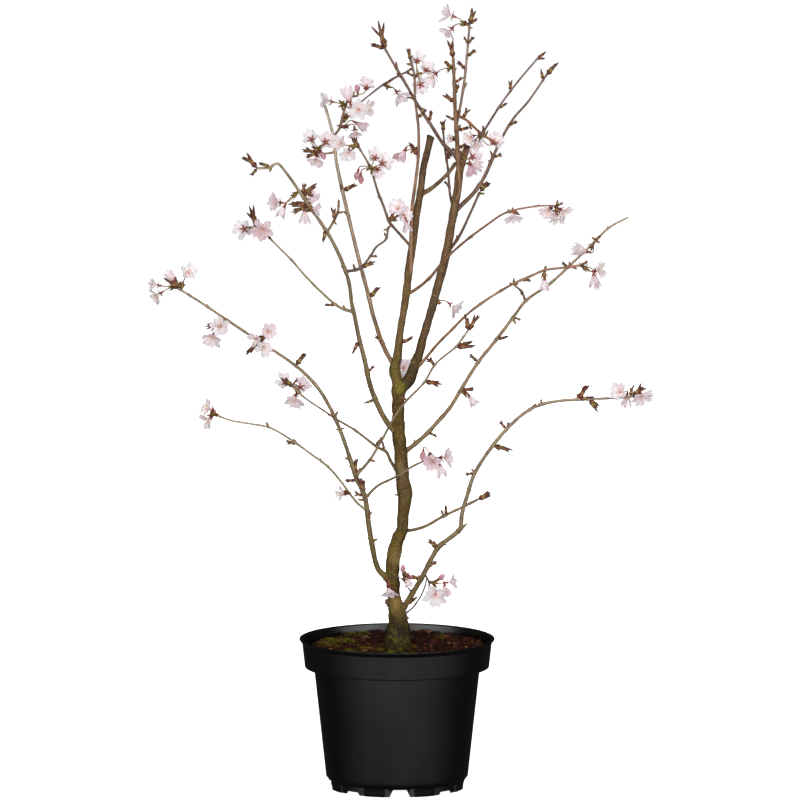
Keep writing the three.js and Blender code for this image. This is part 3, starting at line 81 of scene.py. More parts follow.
# Limbs: the limb each one grows from, its depths and radii, spaced evenly along it, and its path.
LIMBS = {
    "leftLeader": ("trunk", [0, -3, -6, -8, -10], [6.5, 5, 3.6, 3.6, 3.9, 3.9, 3.8, 3.5, 3.4, 3.4, 3.5], [
        (1, 400), (-2.5, 418), (0, 428), (1.3, 438), (3.5, 458), (7, 478), (9.8, 498), (11.8, 518),
        (14.8, 538), (17.5, 558), (20.5, 578), (23.8, 598), (26.2, 618), (31, 638), (33.5, 650),
    ]),
    "rightLeader": ("trunk", [2, 8, 14, 20, 25], [6.5, 5.6, 4.5, 4.1, 4.1, 4.3, 4.4, 4.2, 4.1, 4.1, 4, 3.2], [
        (2, 397), (7, 402), (12, 408), (16.4, 418), (19.8, 428), (23.2, 438), (25.7, 448), (28.6, 458),
        (34.5, 478), (39.8, 498), (45.3, 518), (50, 538), (53.5, 558), (57, 578), (60.5, 598), (63, 618),
        (70.5, 641),
    ]),
    "A1": ("leftLeader", [14, 40, 70, 95, 110], [2.4, 2.3, 2.1, 1.9, 1.9, 1.6, 1.4], [
        (-4, 420), (-11, 436), (-16, 448), (-24, 473), (-30, 498), (-36, 520), (-45, 556), (-53, 590),
        (-57, 608), (-61, 628), (-63, 648), (-68, 668), (-73, 685),
    ]),
    "A1left": ("A1", [88], [1.1, 0.9], [(-62, 636), (-67, 635), (-75, 634.5), (-81, 635)]),
    "A1up": ("A1", [92, 86], [1.3, 1], [(-63, 652), (-57, 661), (-55, 670), (-52, 680), (-49, 690)]),
    "A2": ("trunk", [-12, -35, -60, -85, -105, -118], [2.9, 2.7, 2.4, 2.1, 1.9, 1.8, 1.6, 1.4, 1.2], [
        (-1, 352), (-9, 364), (-19, 382), (-27, 403), (-32, 426), (-38, 450), (-42, 470), (-45, 483),
        (-48, 505), (-55, 526), (-64, 545), (-77, 566), (-89, 583), (-97, 595), (-112, 616), (-119, 623),
        (-127, 619), (-139, 618),
    ]),
    "A2left": ("A2", [-50, -40, -30, -22], [1.6, 1.3, 1.1, 0.9, 0.8], [
        (-45, 474), (-57, 480), (-72, 492), (-92, 512), (-105, 527), (-121, 543), (-131, 553), (-140, 560),
    ]),
    "A2right": ("A2", [-45, -50], [1.5, 1.2, 1], [
        (-50, 515), (-37, 519), (-26, 532), (-21, 540), (-11, 548), (-9, 560),
    ]),
    "A2spur": ("A2", [-62], [1.3, 1], [(-68, 555), (-63, 566), (-59, 575), (-58, 583)]),
    "A3": ("trunk", [-12, -18, -24, -20, -4, 14, 30], [3.2, 2.7, 2.4, 2.2, 1.9, 1.8, 1.6, 1.5, 1.3, 1.1], [
        (-4, 198), (-9, 208), (-19, 219), (-25, 243), (-29, 268), (-32, 290), (-40, 308), (-46, 326),
        (-53, 347), (-63, 372), (-77, 397), (-91, 413), (-107, 426), (-131, 442), (-157, 459), (-175, 471),
        (-199, 487), (-220, 500),
    ]),
    "A3front": ("A3", [-20, -24, -30], [1.4, 1.2, 1], [
        (-31, 291), (-19, 302), (-7, 308), (5, 314), (15, 321), (27, 327), (31, 331), (32.5, 335),
    ]),
    "A4": ("trunk", [16, 34, 52, 66], [2.2, 1.5, 1.2, 1, 0.9], [
        (3, 306), (-6, 326), (-11, 336), (-19, 340), (-43, 358), (-60, 368), (-75, 378), (-94, 391),
        (-105, 402),
    ]),
    "A5": ("A3", [-24, -30, -42, -54], [1.5, 1.3, 1.2, 1.1, 1], [
        (-41, 311), (-27, 328), (-15, 348), (-4, 368), (7, 384), (27, 405), (38, 423), (48, 432), (58, 440),
        (71, 457),
    ]),
    "A6": ("A3", [-28, -44, -60, -72], [1.3, 1.2, 1.1, 1, 0.9], [
        (-30, 276), (-40, 285), (-56, 306), (-69, 321), (-85, 333), (-106, 348), (-127, 360), (-147, 364),
        (-165, 367), (-179, 372),
    ]),
    "B1": ("trunk", [-14, -22, -30, -34, -42, -50], [3.2, 2.6, 2.4, 2.1, 1.9, 1.8, 1.6, 1.4, 1.2], [
        (2, 170), (7, 180), (16, 195), (26, 212), (35, 230), (42, 241), (56, 252), (63, 259), (65, 274),
        (69, 288), (78, 315), (98, 345), (114, 363), (128, 375), (144, 383), (165, 387), (193, 388.5),
        (215, 389.5), (235, 391),
    ]),
    "B1hook": ("B1", [-24], [1.1, 0.8], [(29, 213), (32, 206), (31.5, 198)]),
    "B1pin": ("B1", [-22], [2.2, 0.9], [(60, 256), (70, 264)]),
    "baseShoot": ("trunk", [-17, -19], [1, 0.9, 0.9], [
        (3, 170), (15, 179), (21, 187), (26, 196), (29, 205), (30, 212),
    ]),
    "crossShoot": ("B1", [-16, -14, -9], [1, 0.8, 0.8], [
        (16, 194), (11, 200), (6, 208), (0, 210.5), (-6, 210), (-10, 207),
    ]),
    "B2": ("trunk", [18, 32, 46], [1.8, 1.5, 1.4, 1.2], [
        (4, 256), (18, 258), (30, 262), (46, 271), (65, 280), (81, 288),
    ]),
    "B3": ("trunk", [12, 36, 60, 84, 104, 120], [2.4, 2.1, 1.9, 1.8, 1.6, 1.4, 1.1, 0.9], [
        (3, 333), (16, 342), (28, 352), (40, 365), (53, 380), (64, 398), (81, 425), (101, 450), (119, 474),
        (129, 487), (153, 504), (177, 526), (198, 546), (212, 560), (232, 571),
    ]),
    "B3spur": ("B3", [78], [1.2, 0.9], [(129, 487), (125, 496), (117, 503)]),
    "B4": ("rightLeader", [-8, -26, -42, -55], [1.8, 1.4, 1.3, 1.2, 1.1], [
        (14, 418), (25, 425), (40, 443), (55, 458), (71, 474), (93, 490), (115, 503), (135, 512), (147, 517),
        (169, 520), (183, 522),
    ]),
    "B5": ("leftLeader", [-16, -44, -76, -100, -112], [1.7, 1.4, 1.2, 1, 0.8], [
        (8.5, 492), (17, 497), (31, 508), (49, 529), (68, 546), (88, 561), (108, 574), (128, 579), (145, 581),
        (159, 581),
    ]),
    "link": ("leftLeader", [4, 26], [2.4, 1.9, 2], [(24, 592), (33, 598), (49, 612), (59, 625)]),
    "frontShoot": ("leftLeader", [-10, -14, -17, -22, -28], [1.6, 2, 1.8, 1.5, 1.2, 1], [
        (11, 496), (13.5, 518), (14, 548), (15, 578), (18, 602), (21, 628), (21.5, 658), (18, 688), (17, 713),
        (12, 732),
    ]),
    "Ti": ("leftLeader", [-26, -44, -60], [1.5, 1.4, 1.2, 1], [
        (12, 540), (3, 553), (-8, 566), (-13, 580), (-19, 595), (-27, 620), (-39, 641),
    ]),
    "Ta": ("rightLeader", [13, 9, 0, -10, -18], [2.2, 2.4, 2.3, 1.9, 1.7, 1.4], [
        (63, 582), (62.5, 598), (61.5, 618), (60, 648), (58, 678), (57, 706), (56, 730),
    ]),
    "Tb": ("Ta", [16, 26, 32], [1.5, 1.4, 1.2, 1.1], [
        (60, 660), (64.5, 688), (67.5, 708), (70.5, 738), (72.5, 763),
    ]),
    "Tc": ("Ta", [-14, -32], [1.3, 1.2, 1.1], [(60.5, 672), (68, 668), (84, 653.5), (100, 643)]),
    "Tc2": ("Tc", [-38, -50, -62], [1.3, 1.1, 0.9], [
        (84, 653), (93, 666), (106, 686), (123, 708), (141, 729),
    ]),
    "Td": ("rightLeader", [34, 58, 84, 104], [2.4, 1.9, 1.5, 1.2, 0.9], [
        (56.5, 574), (65, 583), (77, 595), (87, 610), (95, 628), (103, 646), (117, 670), (131, 686),
        (151, 715),
    ]),
    "Td2": ("rightLeader", [32, 38], [1.8, 1.3, 1.2], [(53, 532), (62, 551), (74, 576), (83, 596)]),
    "Te": ("rightLeader", [30, 42, 54, 64], [1.8, 1.8, 1.6, 1.4, 1.2], [
        (62, 623), (55, 635), (46, 644), (33, 664), (20, 684), (8, 705), (-4, 725), (-12, 739),
    ]),
    "Tg": ("Te", [66, 74], [1.1, 0.9], [(3, 714), (-14, 703), (-26, 694), (-36, 686)]),
    "Tgr": ("Te", [50], [1, 0.8], [(4, 713), (11, 716)]),
    "Tf": ("rightLeader", [34, 40, 44], [1.4, 1.2, 1], [
        (57, 576), (53, 593), (51, 618), (48, 638), (46, 658),
    ]),
}

# Leaf buds: for each spur its root, then the tip of each bud.
SPURS = {
    "Te": [
        [(1, 718), (-1, 727)], [(6, 709), (-1, 715)], [(-12, 739), (-19, 768), (-26, 762), (-13, 766)],
        [(-12, 739), (-27, 744)], [(-12, 739), (-12, 750)], [(22, 680), (30, 677)], [(33, 665), (35, 678)],
        [(51, 637), (52, 628)], [(47, 643), (55, 630)],
    ],
    "frontShoot": [
        [(13, 726), (11, 739)], [(15, 722), (9, 723)], [(18, 688), (9, 690)], [(18, 688), (12, 695)],
        [(22, 669), (30, 677)], [(22, 630), (12, 645)],
    ],
    "Tg": [[(-6, 708), (-13, 702)], [(-14, 703), (-8, 700)]],
    "Tgr": [[(9, 715), (16, 720)], [(9, 715), (17, 711)]],
    "Tf": [[(46, 655), (43, 667), (49, 669)], [(49, 600), (47, 607)], [(50, 628), (52, 636)]],
    "Ta": [
        [(57, 684), (45, 692), (49, 694)], [(59, 666), (48, 672)], [(56, 718), (47, 726)],
        [(56, 728), (50, 747), (56, 747)], [(57, 716), (60, 719)], [(57, 704), (67, 710)],
        [(58, 693), (62, 704)], [(59, 668), (62, 678)], [(61, 657), (64, 663)], [(61, 657), (73, 660)],
        [(62, 638), (69, 644), (73, 645)], [(62, 632), (71, 640)], [(62, 630), (69, 622)],
        [(61, 633), (55, 640)],
    ],
    "Tb": [
        [(66.5, 698), (70, 705)], [(67, 718), (60, 727)], [(70, 731), (79, 738)], [(71, 743), (67, 751)],
        [(71, 743), (77, 751)], [(72, 758), (76, 760)], [(72, 761), (67, 767)],
        [(72.5, 762), (75, 780), (79, 777)], [(72.5, 762), (81, 769)],
    ],
    "Tc": [[(65, 669.5), (74, 678), (69, 680)], [(72, 665), (74, 657)], [(88, 651), (91, 657)]],
    "Tc2": [
        [(85, 654), (86, 662)], [(102, 678), (111, 684)], [(114, 696), (111, 706), (115, 707)],
        [(140, 728), (149, 735)], [(140, 728), (148, 728)],
    ],
    "Td": [
        [(112, 662), (121, 667)], [(146, 708), (144, 720)], [(150, 714), (162, 726), (158, 725)],
        [(96, 631), (93, 638)], [(96, 631), (106, 634)], [(93, 625), (91, 628)], [(83, 601), (92, 605)],
        [(83, 599), (79, 595)],
    ],
    "Td2": [[(83, 596), (94, 605), (90, 607)], [(82, 594), (88, 594)], [(60, 548), (60, 553)]],
    "Ti": [
        [(-16, 589), (-20, 591)], [(-8, 566), (-11, 575)], [(-8, 566), (-3, 576)], [(-8, 566), (0, 569)],
        [(-37, 638), (-46, 650)], [(-38, 639), (-43, 650)], [(-39, 641), (-45, 639)],
        [(-27, 620), (-31, 616)],
    ],
    "A2right": [
        [(-9, 558), (-14, 557)], [(-9, 558), (-5, 564)], [(-11, 550), (-13, 555)], [(-42, 517), (-44, 524)],
        [(-37, 519), (-21, 526)], [(-26, 530), (-19, 531)],
    ],
    "A1": [
        [(-55, 596), (-39, 603), (-43, 604)], [(-55, 596), (-57, 604)], [(-48, 573), (-54, 577)],
        [(-28, 490), (-16, 501), (-20, 501)], [(-18, 443), (-22, 453)],
    ],
    "A1up": [
        [(-57, 663), (-61, 662)], [(-56, 666), (-52, 670)], [(-56, 664), (-46, 674)],
        [(-53, 677), (-56, 684)], [(-49, 688), (-51, 699), (-47, 698)],
    ],
    "A1left": [[(-80, 635), (-96, 639)], [(-80, 635), (-92, 631)], [(-80, 635), (-85, 644)]],
    "A2": [
        [(-95, 592), (-79, 604), (-80, 600)], [(-95, 592), (-82, 592)], [(-95, 593), (-91, 604)],
        [(-125, 619), (-138, 624)], [(-124, 619), (-127, 614)], [(-138, 618), (-154, 630), (-150, 634)],
        [(-138, 618), (-147, 611), (-144, 610)], [(-89, 583), (-101, 585)],
        [(-89, 582), (-105, 580), (-109, 583)], [(-87, 580), (-106, 574)], [(-72, 557), (-73, 544)],
        [(-38, 448), (-45, 433)], [(-28, 415), (-22, 423)], [(-22, 388), (-34, 384)],
        [(-52, 518), (-56, 522)],
    ],
    "A2spur": [
        [(-63, 567), (-66, 580), (-61, 579)], [(-63, 566), (-60, 562)], [(-58, 581), (-58, 588)],
        [(-60, 574), (-53, 575)],
    ],
    "A2left": [
        [(-52, 477), (-54, 483)], [(-62, 482), (-73, 482)],
        [(-139, 559), (-148, 582), (-151, 575), (-145, 578)], [(-140, 559), (-143, 583), (-147, 574)],
        [(-140, 559), (-138, 569)], [(-134, 555), (-129, 558)], [(-105, 527), (-107, 529)],
    ],
    "A3": [
        [(-100, 422), (-90, 434), (-93, 435)], [(-82, 403), (-85, 404)], [(-64, 375), (-65, 380)],
        [(-62, 371), (-70, 374)], [(-62, 371), (-59, 377)], [(-57, 358), (-62, 358)],
        [(-56, 358), (-52, 360)], [(-47, 328), (-53, 330)], [(-42, 314), (-41, 330)],
        [(-42, 314), (-35, 320)], [(-45, 323), (-48, 320)], [(-40, 307), (-53, 307)],
        [(-34, 296), (-37, 310)], [(-33, 294), (-34, 309)], [(-33, 291), (-43, 298), (-44, 291)],
        [(-31, 288), (-40, 288)], [(-26, 247), (-30, 250)], [(-25, 246), (-19, 249)],
        [(-28, 266), (-27, 278)], [(-31, 290), (-27, 292)], [(-135, 445), (-133, 455)],
        [(-139, 448), (-147, 434), (-151, 432)], [(-139, 448), (-132, 431)],
        [(-170, 467), (-186, 462), (-191, 463)], [(-170, 467), (-192, 458)], [(-188, 481), (-190, 484)],
        [(-207, 492), (-209, 494)], [(-219, 499), (-234, 510), (-231, 511)], [(-219, 499), (-223, 512)],
        [(-219, 499), (-216, 507)],
    ],
    "A4": [
        [(-13, 336), (-15, 347)], [(-21, 342), (-14, 351)], [(-42, 357), (-43, 360)],
        [(-105, 402), (-117, 410), (-112, 410)], [(-105, 402), (-100, 409)], [(-95, 392), (-93, 391)],
    ],
    "A6": [
        [(-100, 345), (-112, 346)], [(-100, 345), (-104, 349)], [(-127, 360), (-131, 366)],
        [(-75, 327), (-77, 330)], [(-69, 321), (-69, 323)], [(-178, 371), (-182, 375)],
    ],
    "A5": [
        [(-27, 327), (-21, 326)], [(27, 405), (46, 403), (43, 406)], [(37, 422), (33, 431)],
        [(38, 424), (29, 429)], [(58, 440), (76, 440), (79, 442)], [(59, 441), (77, 447)],
        [(66, 450), (65, 451)], [(71, 457), (67, 474), (71, 470)], [(71, 457), (82, 474)],
        [(71, 457), (78, 462)],
    ],
    "B3": [
        [(81, 425), (72, 434)], [(81, 425), (84, 428)], [(101, 448), (112, 451)], [(117, 470), (125, 468)],
        [(117, 470), (119, 463)], [(18, 344), (17, 349)], [(31, 354), (41, 351)], [(45, 372), (47, 374)],
        [(63, 396), (78, 399)], [(63, 396), (71, 390)], [(154, 505), (152, 502)],
        [(199, 546), (195, 551), (201, 551)], [(199, 546), (204, 553)], [(199, 546), (204, 545)],
        [(198, 545), (194, 538)], [(212, 560), (211, 562)], [(171, 521), (165, 525)],
    ],
    "B3spur": [
        [(117, 502), (112, 505)], [(117, 502), (117, 510)], [(117, 502), (122, 504)],
        [(125, 494), (127, 496)], [(123, 495), (125, 492)],
    ],
    "B4": [
        [(104, 497), (107, 498)], [(83, 483), (83, 485)], [(125, 506), (134, 507)], [(57, 459), (54, 456)],
        [(147, 517), (149, 522)], [(147, 517), (147, 512)], [(170, 520), (164, 526)],
        [(172, 520), (172, 526)], [(175, 520), (180, 518)], [(183, 522), (182, 525)],
        [(183, 522), (191, 526)], [(21, 423), (22, 428)],
    ],
    "B1": [
        [(30, 221), (28, 222)], [(31, 219), (41, 227)], [(23, 209), (21, 213)], [(40, 239), (31, 249)],
        [(41, 240), (36, 247)], [(44, 242), (50, 243)], [(78, 315), (67, 313)], [(78, 315), (74, 319)],
        [(96, 342), (117, 337), (113, 339)], [(97, 342), (103, 336)], [(109, 358), (102, 367)],
        [(109, 358), (112, 366)], [(144, 383), (144, 389)], [(144, 383), (141, 385)],
        [(133, 378), (139, 384)], [(181, 388), (192, 403), (189, 403)], [(181, 388), (180, 394)],
        [(181, 388), (198, 391)], [(191, 388), (201, 375)], [(191, 388), (203, 381)], [(73, 298), (74, 296)],
        [(233, 391), (237, 404), (233, 400)], [(234, 391), (244, 405), (250, 400)], [(9, 182), (21, 191)],
    ],
    "B2": [
        [(48, 272), (49, 283)], [(46, 271), (44, 278)], [(81, 288), (94, 296)], [(81, 288), (95, 292)],
        [(73, 284), (78, 285)],
    ],
    "B5": [
        [(73, 549), (76, 550)], [(111, 575), (110, 578)], [(138, 580), (142, 582)], [(159, 581), (166, 584)],
        [(159, 581), (160, 587)], [(31, 509), (32, 510)],
    ],
    "crossShoot": [[(7, 207), (11, 208)]],
    "trunk": [[(-5, 191), (-11, 180)], [(0, 292), (-3, 293)], [(12, 288), (15, 294)]],
    "leftLeader": [[(2, 443), (17, 450)]],
}

# Blossom: the limb and place that each spray grows from, then its flowers, each as
# across, up, depth behind the root, width, yaw, pitch, form.
BLOSSOM = [
    ("A3", (-219, 500), [
        (-244, 503, -4, 17, -80, 10, OPEN), (-241, 491, 3, 19, -60, -30, OPEN),
        (-226, 511, -8, 14, -150, 35, HALF),
    ]),
    ("A3", (-217, 498), [(-208, 516, 6, 20, 20, 30, OPEN)]),
    ("A3", (-169, 466), [(-177, 461, -9, 22, -10, 0, OPEN), (-185, 448, -2, 24, -20, -35, OPEN)]),
    ("A3", (-138, 448), [
        (-128, 456, -7, 20, 20, 5, OPEN), (-142, 448, -5, 18, -35, -15, OPEN),
        (-133, 439, -13, 20, 5, -20, OPEN),
    ]),
    ("A4", (-104, 401), [(-95, 403, 6, 20, 160, 15, OPEN), (-103, 386, -3, 24, -15, -45, OPEN)]),
    ("A4", (-104, 401), [(-114, 407, 11, 20, -160, 10, OPEN)]),
    ("A6", (-178, 372), [(-189, 380, -4, 20, -60, 25, OPEN), (-190, 367, -6, 20, -50, -25, OPEN)]),
    ("A6", (-47, 295), [(-56, 294, -7, 17, -60, 0, OPEN)]),
    ("A3", (-12, 213), [(-8, 195, -13, 22, 0, -65, OPEN)]),
    ("crossShoot", (6, 208), [(6, 219, 0, 7, 0, 85, CLOSED), (12, 204, -4, 12, 20, -70, HALF)]),
    ("B1hook", (32, 205), [
        (38, 191, -10, 26, -5, -20, OPEN), (49, 196, -3, 14, 20, -55, HALF), (56, 206, 3, 19, 85, 10, OPEN),
        (45, 211, 5, 7, 60, 35, CLOSED),
    ]),
    ("A3front", (32.5, 335), [
        (26, 331, -4, 8, -20, -80, CLOSED), (35, 325, -10, 20, -10, -10, OPEN),
        (44, 316, -4, 15, 20, -60, HALF), (50, 330, 0, 22, 60, 5, OPEN),
    ]),
    ("B3", (64, 397), [(76, 386, -3, 13, 60, -50, HALF)]),
    ("B1", (219, 389.5), [(221, 396, -6, 21, -30, 20, OPEN), (229, 386, 2, 14, -10, -50, HALF)]),
    ("B1", (235, 391), [(244, 389, -8, 22, 10, -35, OPEN), (251, 393, 4, 13, 80, 10, HALF)]),
    ("rightLeader", (39, 486), [(59, 479, 6, 23, 75, -35, OPEN)]),
    ("B5", (113, 575), [(116, 569, -3, 22, 10, -60, OPEN)]),
    ("B5", (159, 581), [
        (150, 574, -4, 20, -35, -35, OPEN), (167, 574, 1, 19, 50, -25, OPEN),
        (159, 567, -9, 18, 5, -60, OPEN),
    ]),
    ("B3", (197, 545), [(183, 538, -5, 17, -70, 15, HALF)]),
    ("B4", (184, 522), [(203, 517, 2, 19, 65, 10, OPEN), (197, 505, -3, 16, 10, -60, HALF)]),
    ("B4", (147, 514), [(147, 502, -1, 13, 0, -80, HALF)]),
    ("leftLeader", (-2, 416), [(7, 420, 14, 22, 10, 10, OPEN)]),
    ("Ti", (-7, 566), [
        (0, 580, -6, 20, -15, 35, OPEN), (8, 572, -1, 20, 40, 10, OPEN), (10, 560, -3, 13, 30, -70, HALF),
    ]),
    ("Ti", (-28, 622), [
        (-21, 632, 5, 20, 170, 20, OPEN), (-12, 625, 6, 21, 155, 5, OPEN), (-19, 615, 3, 16, 170, -40, OPEN),
        (-40, 611, -3, 7, -45, -70, CLOSED), (-36, 607, -1, 7, -10, -85, CLOSED),
    ]),
    ("frontShoot", (14, 640), [(5, 631, -2, 14, -40, -50, HALF), (-1, 631, 1, 7, -80, -30, CLOSED)]),
    ("Tg", (-12, 701), [(4, 691, -3, 22, 50, -40, OPEN)]),
    ("frontShoot", (17, 710), [
        (21, 729, 6, 18, 170, 30, OPEN), (31, 719, 9, 18, 160, 20, OPEN), (24, 701, 4, 19, 175, -20, OPEN),
    ]),
    ("Ta", (55, 720), [(34, 709, -17, 22, -50, -30, OPEN)]),
    ("Tb", (69, 764), [(50, 773, -2, 21, -75, 20, OPEN), (51, 754, -5, 21, -50, -40, OPEN)]),
    ("Ta", (61, 648), [(53, 649, 14, 12, -60, 10, OPEN)]),
    ("Tc", (81, 655), [
        (72, 649, -6, 17, -40, -10, OPEN), (79, 642, 4, 17, 30, -50, OPEN), (99, 647, -8, 20, 150, 20, OPEN),
    ]),
    ("Ta", (62, 628), [
        (78, 632, 10, 18, 150, 10, OPEN), (80, 622, 14, 14, 80, -10, HALF), (74, 616, 6, 14, 20, -65, HALF),
    ]),
    ("A1up", (-51, 683), [(-72, 687, -6, 21, -75, 10, OPEN), (-49, 693, -7, 18, -160, 50, HALF)]),
    ("A1up", (-49, 689), [(-30, 704, 3, 19, 170, 35, OPEN), (-40, 700, -2, 7, -20, 70, CLOSED)]),
    ("A1up", (-54, 670), [(-39, 678, -10, 24, -10, 0, OPEN), (-28, 680, -3, 20, 60, 0, OPEN)]),
    ("A1up", (-57, 661), [(-35, 662, -8, 14, 70, -25, HALF), (-42, 654, -5, 16, 10, -60, OPEN)]),
    ("A1left", (-79, 635), [
        (-87, 651, 5, 19, -165, 15, OPEN), (-70, 648, 6, 20, 165, 10, OPEN),
        (-81, 627, -4, 19, -15, -50, OPEN), (-74, 632, -1, 7, 40, -50, CLOSED),
    ]),
    ("Ti", (-39, 641), [(-58, 644, 9, 19, -42, 18, OPEN), (-49, 632, 4, 20, -8, -36, OPEN)]),
    ("A2", (-98, 596), [(-122, 584, -7, 21, -65, 5, OPEN), (-115, 574, -9, 14, -40, -50, HALF)]),
    ("A2", (-93, 589), [(-84, 589, 9, 15, 40, 50, HALF)]),
    ("A2", (-90, 584), [(-80.5, 578, 1, 18, 80, -10, OPEN)]),
    ("A2", (-84, 575), [(-92, 569, -5, 15, 0, -75, HALF)]),
    ("A2left", (-140, 560), [(-155, 558, 5, 22, -160, -10, OPEN)]),
    ("A2left", (-127, 549), [(-135, 557, -10, 25, -5, -15, OPEN)]),
    ("B1", (23, 209), [(13, 210.5, 0, 6, -90, 4, CLOSED)]),
]


# ---- numbers that repeat on every run ----

WORD = 0xFFFFFFFF  # the low 32 bits


class Draws:
    """A repeatable random number from 0 to 1 for each call: the one that the CAD solids use."""

    def __init__(self, seed):
        self.state = seed

    def __call__(self):
        self.state = (self.state + 0x6D2B79F5) & WORD
        a = self.state
        b = (a ^ (a >> 15)) * (a | 1) & WORD
        b ^= (b + (b ^ (b >> 7)) * (b | 61)) & WORD
        return (b ^ (b >> 14)) / (WORD + 1)


def relief(points, size, seed, count=16):
    """A smooth random relief at the points, mostly within -1 to 1, whose bumps are about size across."""
    rng = np.random.RandomState(seed)
    ways = rng.normal(size=(count, 3))
    ways *= (TURN / size * rng.uniform(0.6, 1.4, count) / norm(ways, axis=1))[:, None]
    return np.sin(points @ ways.T + rng.uniform(0, TURN, count)).sum(axis=1) / math.sqrt(count)


# ---- small geometry helpers ----

BACKWARD = np.array([0.0, 1.0, 0.0])
UPWARD = np.array([0.0, 0.0, 1.0])


def unit(vector):
    """The vector at length 1."""
    return vector / norm(vector)


def held(value):
    """The value, kept within 0 to 1."""
    return min(1, max(0, value))


def circle(count):
    """Angles spaced evenly over a full turn."""
    return np.arange(count) / count * TURN


def along(values, t):
    """The values, evenly spaced, read at the fractions t."""
    return np.interp(t, np.linspace(0, 1, len(values)), values)


def place(across, up, depth):
    """A point of the drawing plane, pushed back by its depth, in the tree's own frame."""
    height = (up - depth * math.sin(DRAWING_LEAN)) / math.cos(DRAWING_LEAN)
    return np.array([across, depth, height])


def smooth_line(points, step):
    """A centripetal Catmull-Rom line through the points, in equal steps of about the given length."""
    points = np.array(points, float)
    ends = [2 * points[0] - points[1], 2 * points[-1] - points[-2]]
    knots = np.vstack([ends[0], points, ends[1]])
    dense = []
    for i in range(1, len(knots) - 2):
        p0, p1, p2, p3 = knots[i - 1:i + 3]
        pairs = ((p0, p1), (p1, p2), (p2, p3))
        d0, d1, d2 = (max(math.sqrt(norm(b - a)), 1e-4) for a, b in pairs)
        start = ((p1 - p0) / d0 - (p2 - p0) / (d0 + d1) + (p2 - p1) / d1) * d1
        end = ((p2 - p1) / d1 - (p3 - p1) / (d1 + d2) + (p3 - p2) / d2) * d1
        t = np.linspace(0, 1, 24, endpoint=False)[:, None]
        dense.append((2 * t**3 - 3 * t**2 + 1) * p1 + (t**3 - 2 * t**2 + t) * start
                     + (3 * t**2 - 2 * t**3) * p2 + (t**3 - t**2) * end)
    dense = np.vstack(dense + [points[-1:]])
    length = line_length(dense)
    marks = np.linspace(0, length[-1], max(2, round(length[-1] / step)) + 1)
    return np.column_stack([np.interp(marks, length, dense[:, axis]) for axis in range(3)])


def line_length(line):
    """How far along a line each of its corners lies."""
    return np.concatenate([[0], np.cumsum(norm(np.diff(line, axis=0), axis=1))])


def nearest_index(line, across, up):
    """The place of the line that looks nearest to a point of the drawing plane."""
    height = line[:, 2] * math.cos(DRAWING_LEAN) + line[:, 1] * math.sin(DRAWING_LEAN)
    return int(np.argmin((line[:, 0] - across) ** 2 + (height - up) ** 2))


def frames(line, reference):
    """For each corner of a line two directions square to it, which don't twist along the line."""
    ways = np.gradient(line, axis=0)
    ways /= norm(ways, axis=1)[:, None]
    side = reference - ways[0] * (reference @ ways[0])
    sides = []
    for way in ways:
        side = unit(side - way * (side @ way))
        sides.append(side)
    sides = np.array(sides)
    return sides, np.cross(ways, sides)


def square_to(way):
    """A direction square to another."""
    side = np.cross(way, UPWARD)
    return unit(side) if norm(side) > 1e-3 else BACKWARD


def axes_across(way):
    """Two directions square to a third one and to each other."""
    first = square_to(way)
    return first, np.cross(way, first)


def around(first, second, angle):
    """A direction in the plane of two others, at an angle from the first."""
    return math.cos(angle) * first + math.sin(angle) * second


def ring(radius, angles, z):
    """Corners round the pot's axis."""
    return np.column_stack([radius * np.cos(angles), radius * np.sin(angles), z + 0 * angles])


# ---- meshes ----

VALUES = ("rise", "across", "tone", "age", "green", "foot")

SHARP_ANGLE = 58  # degrees: faces that meet more steeply are shaded with an edge between them


def in_scene(name, data):
    """A new object of the scene."""
    thing = bpy.data.objects.new(name, data)
    bpy.context.scene.collection.objects.link(thing)
    return thing


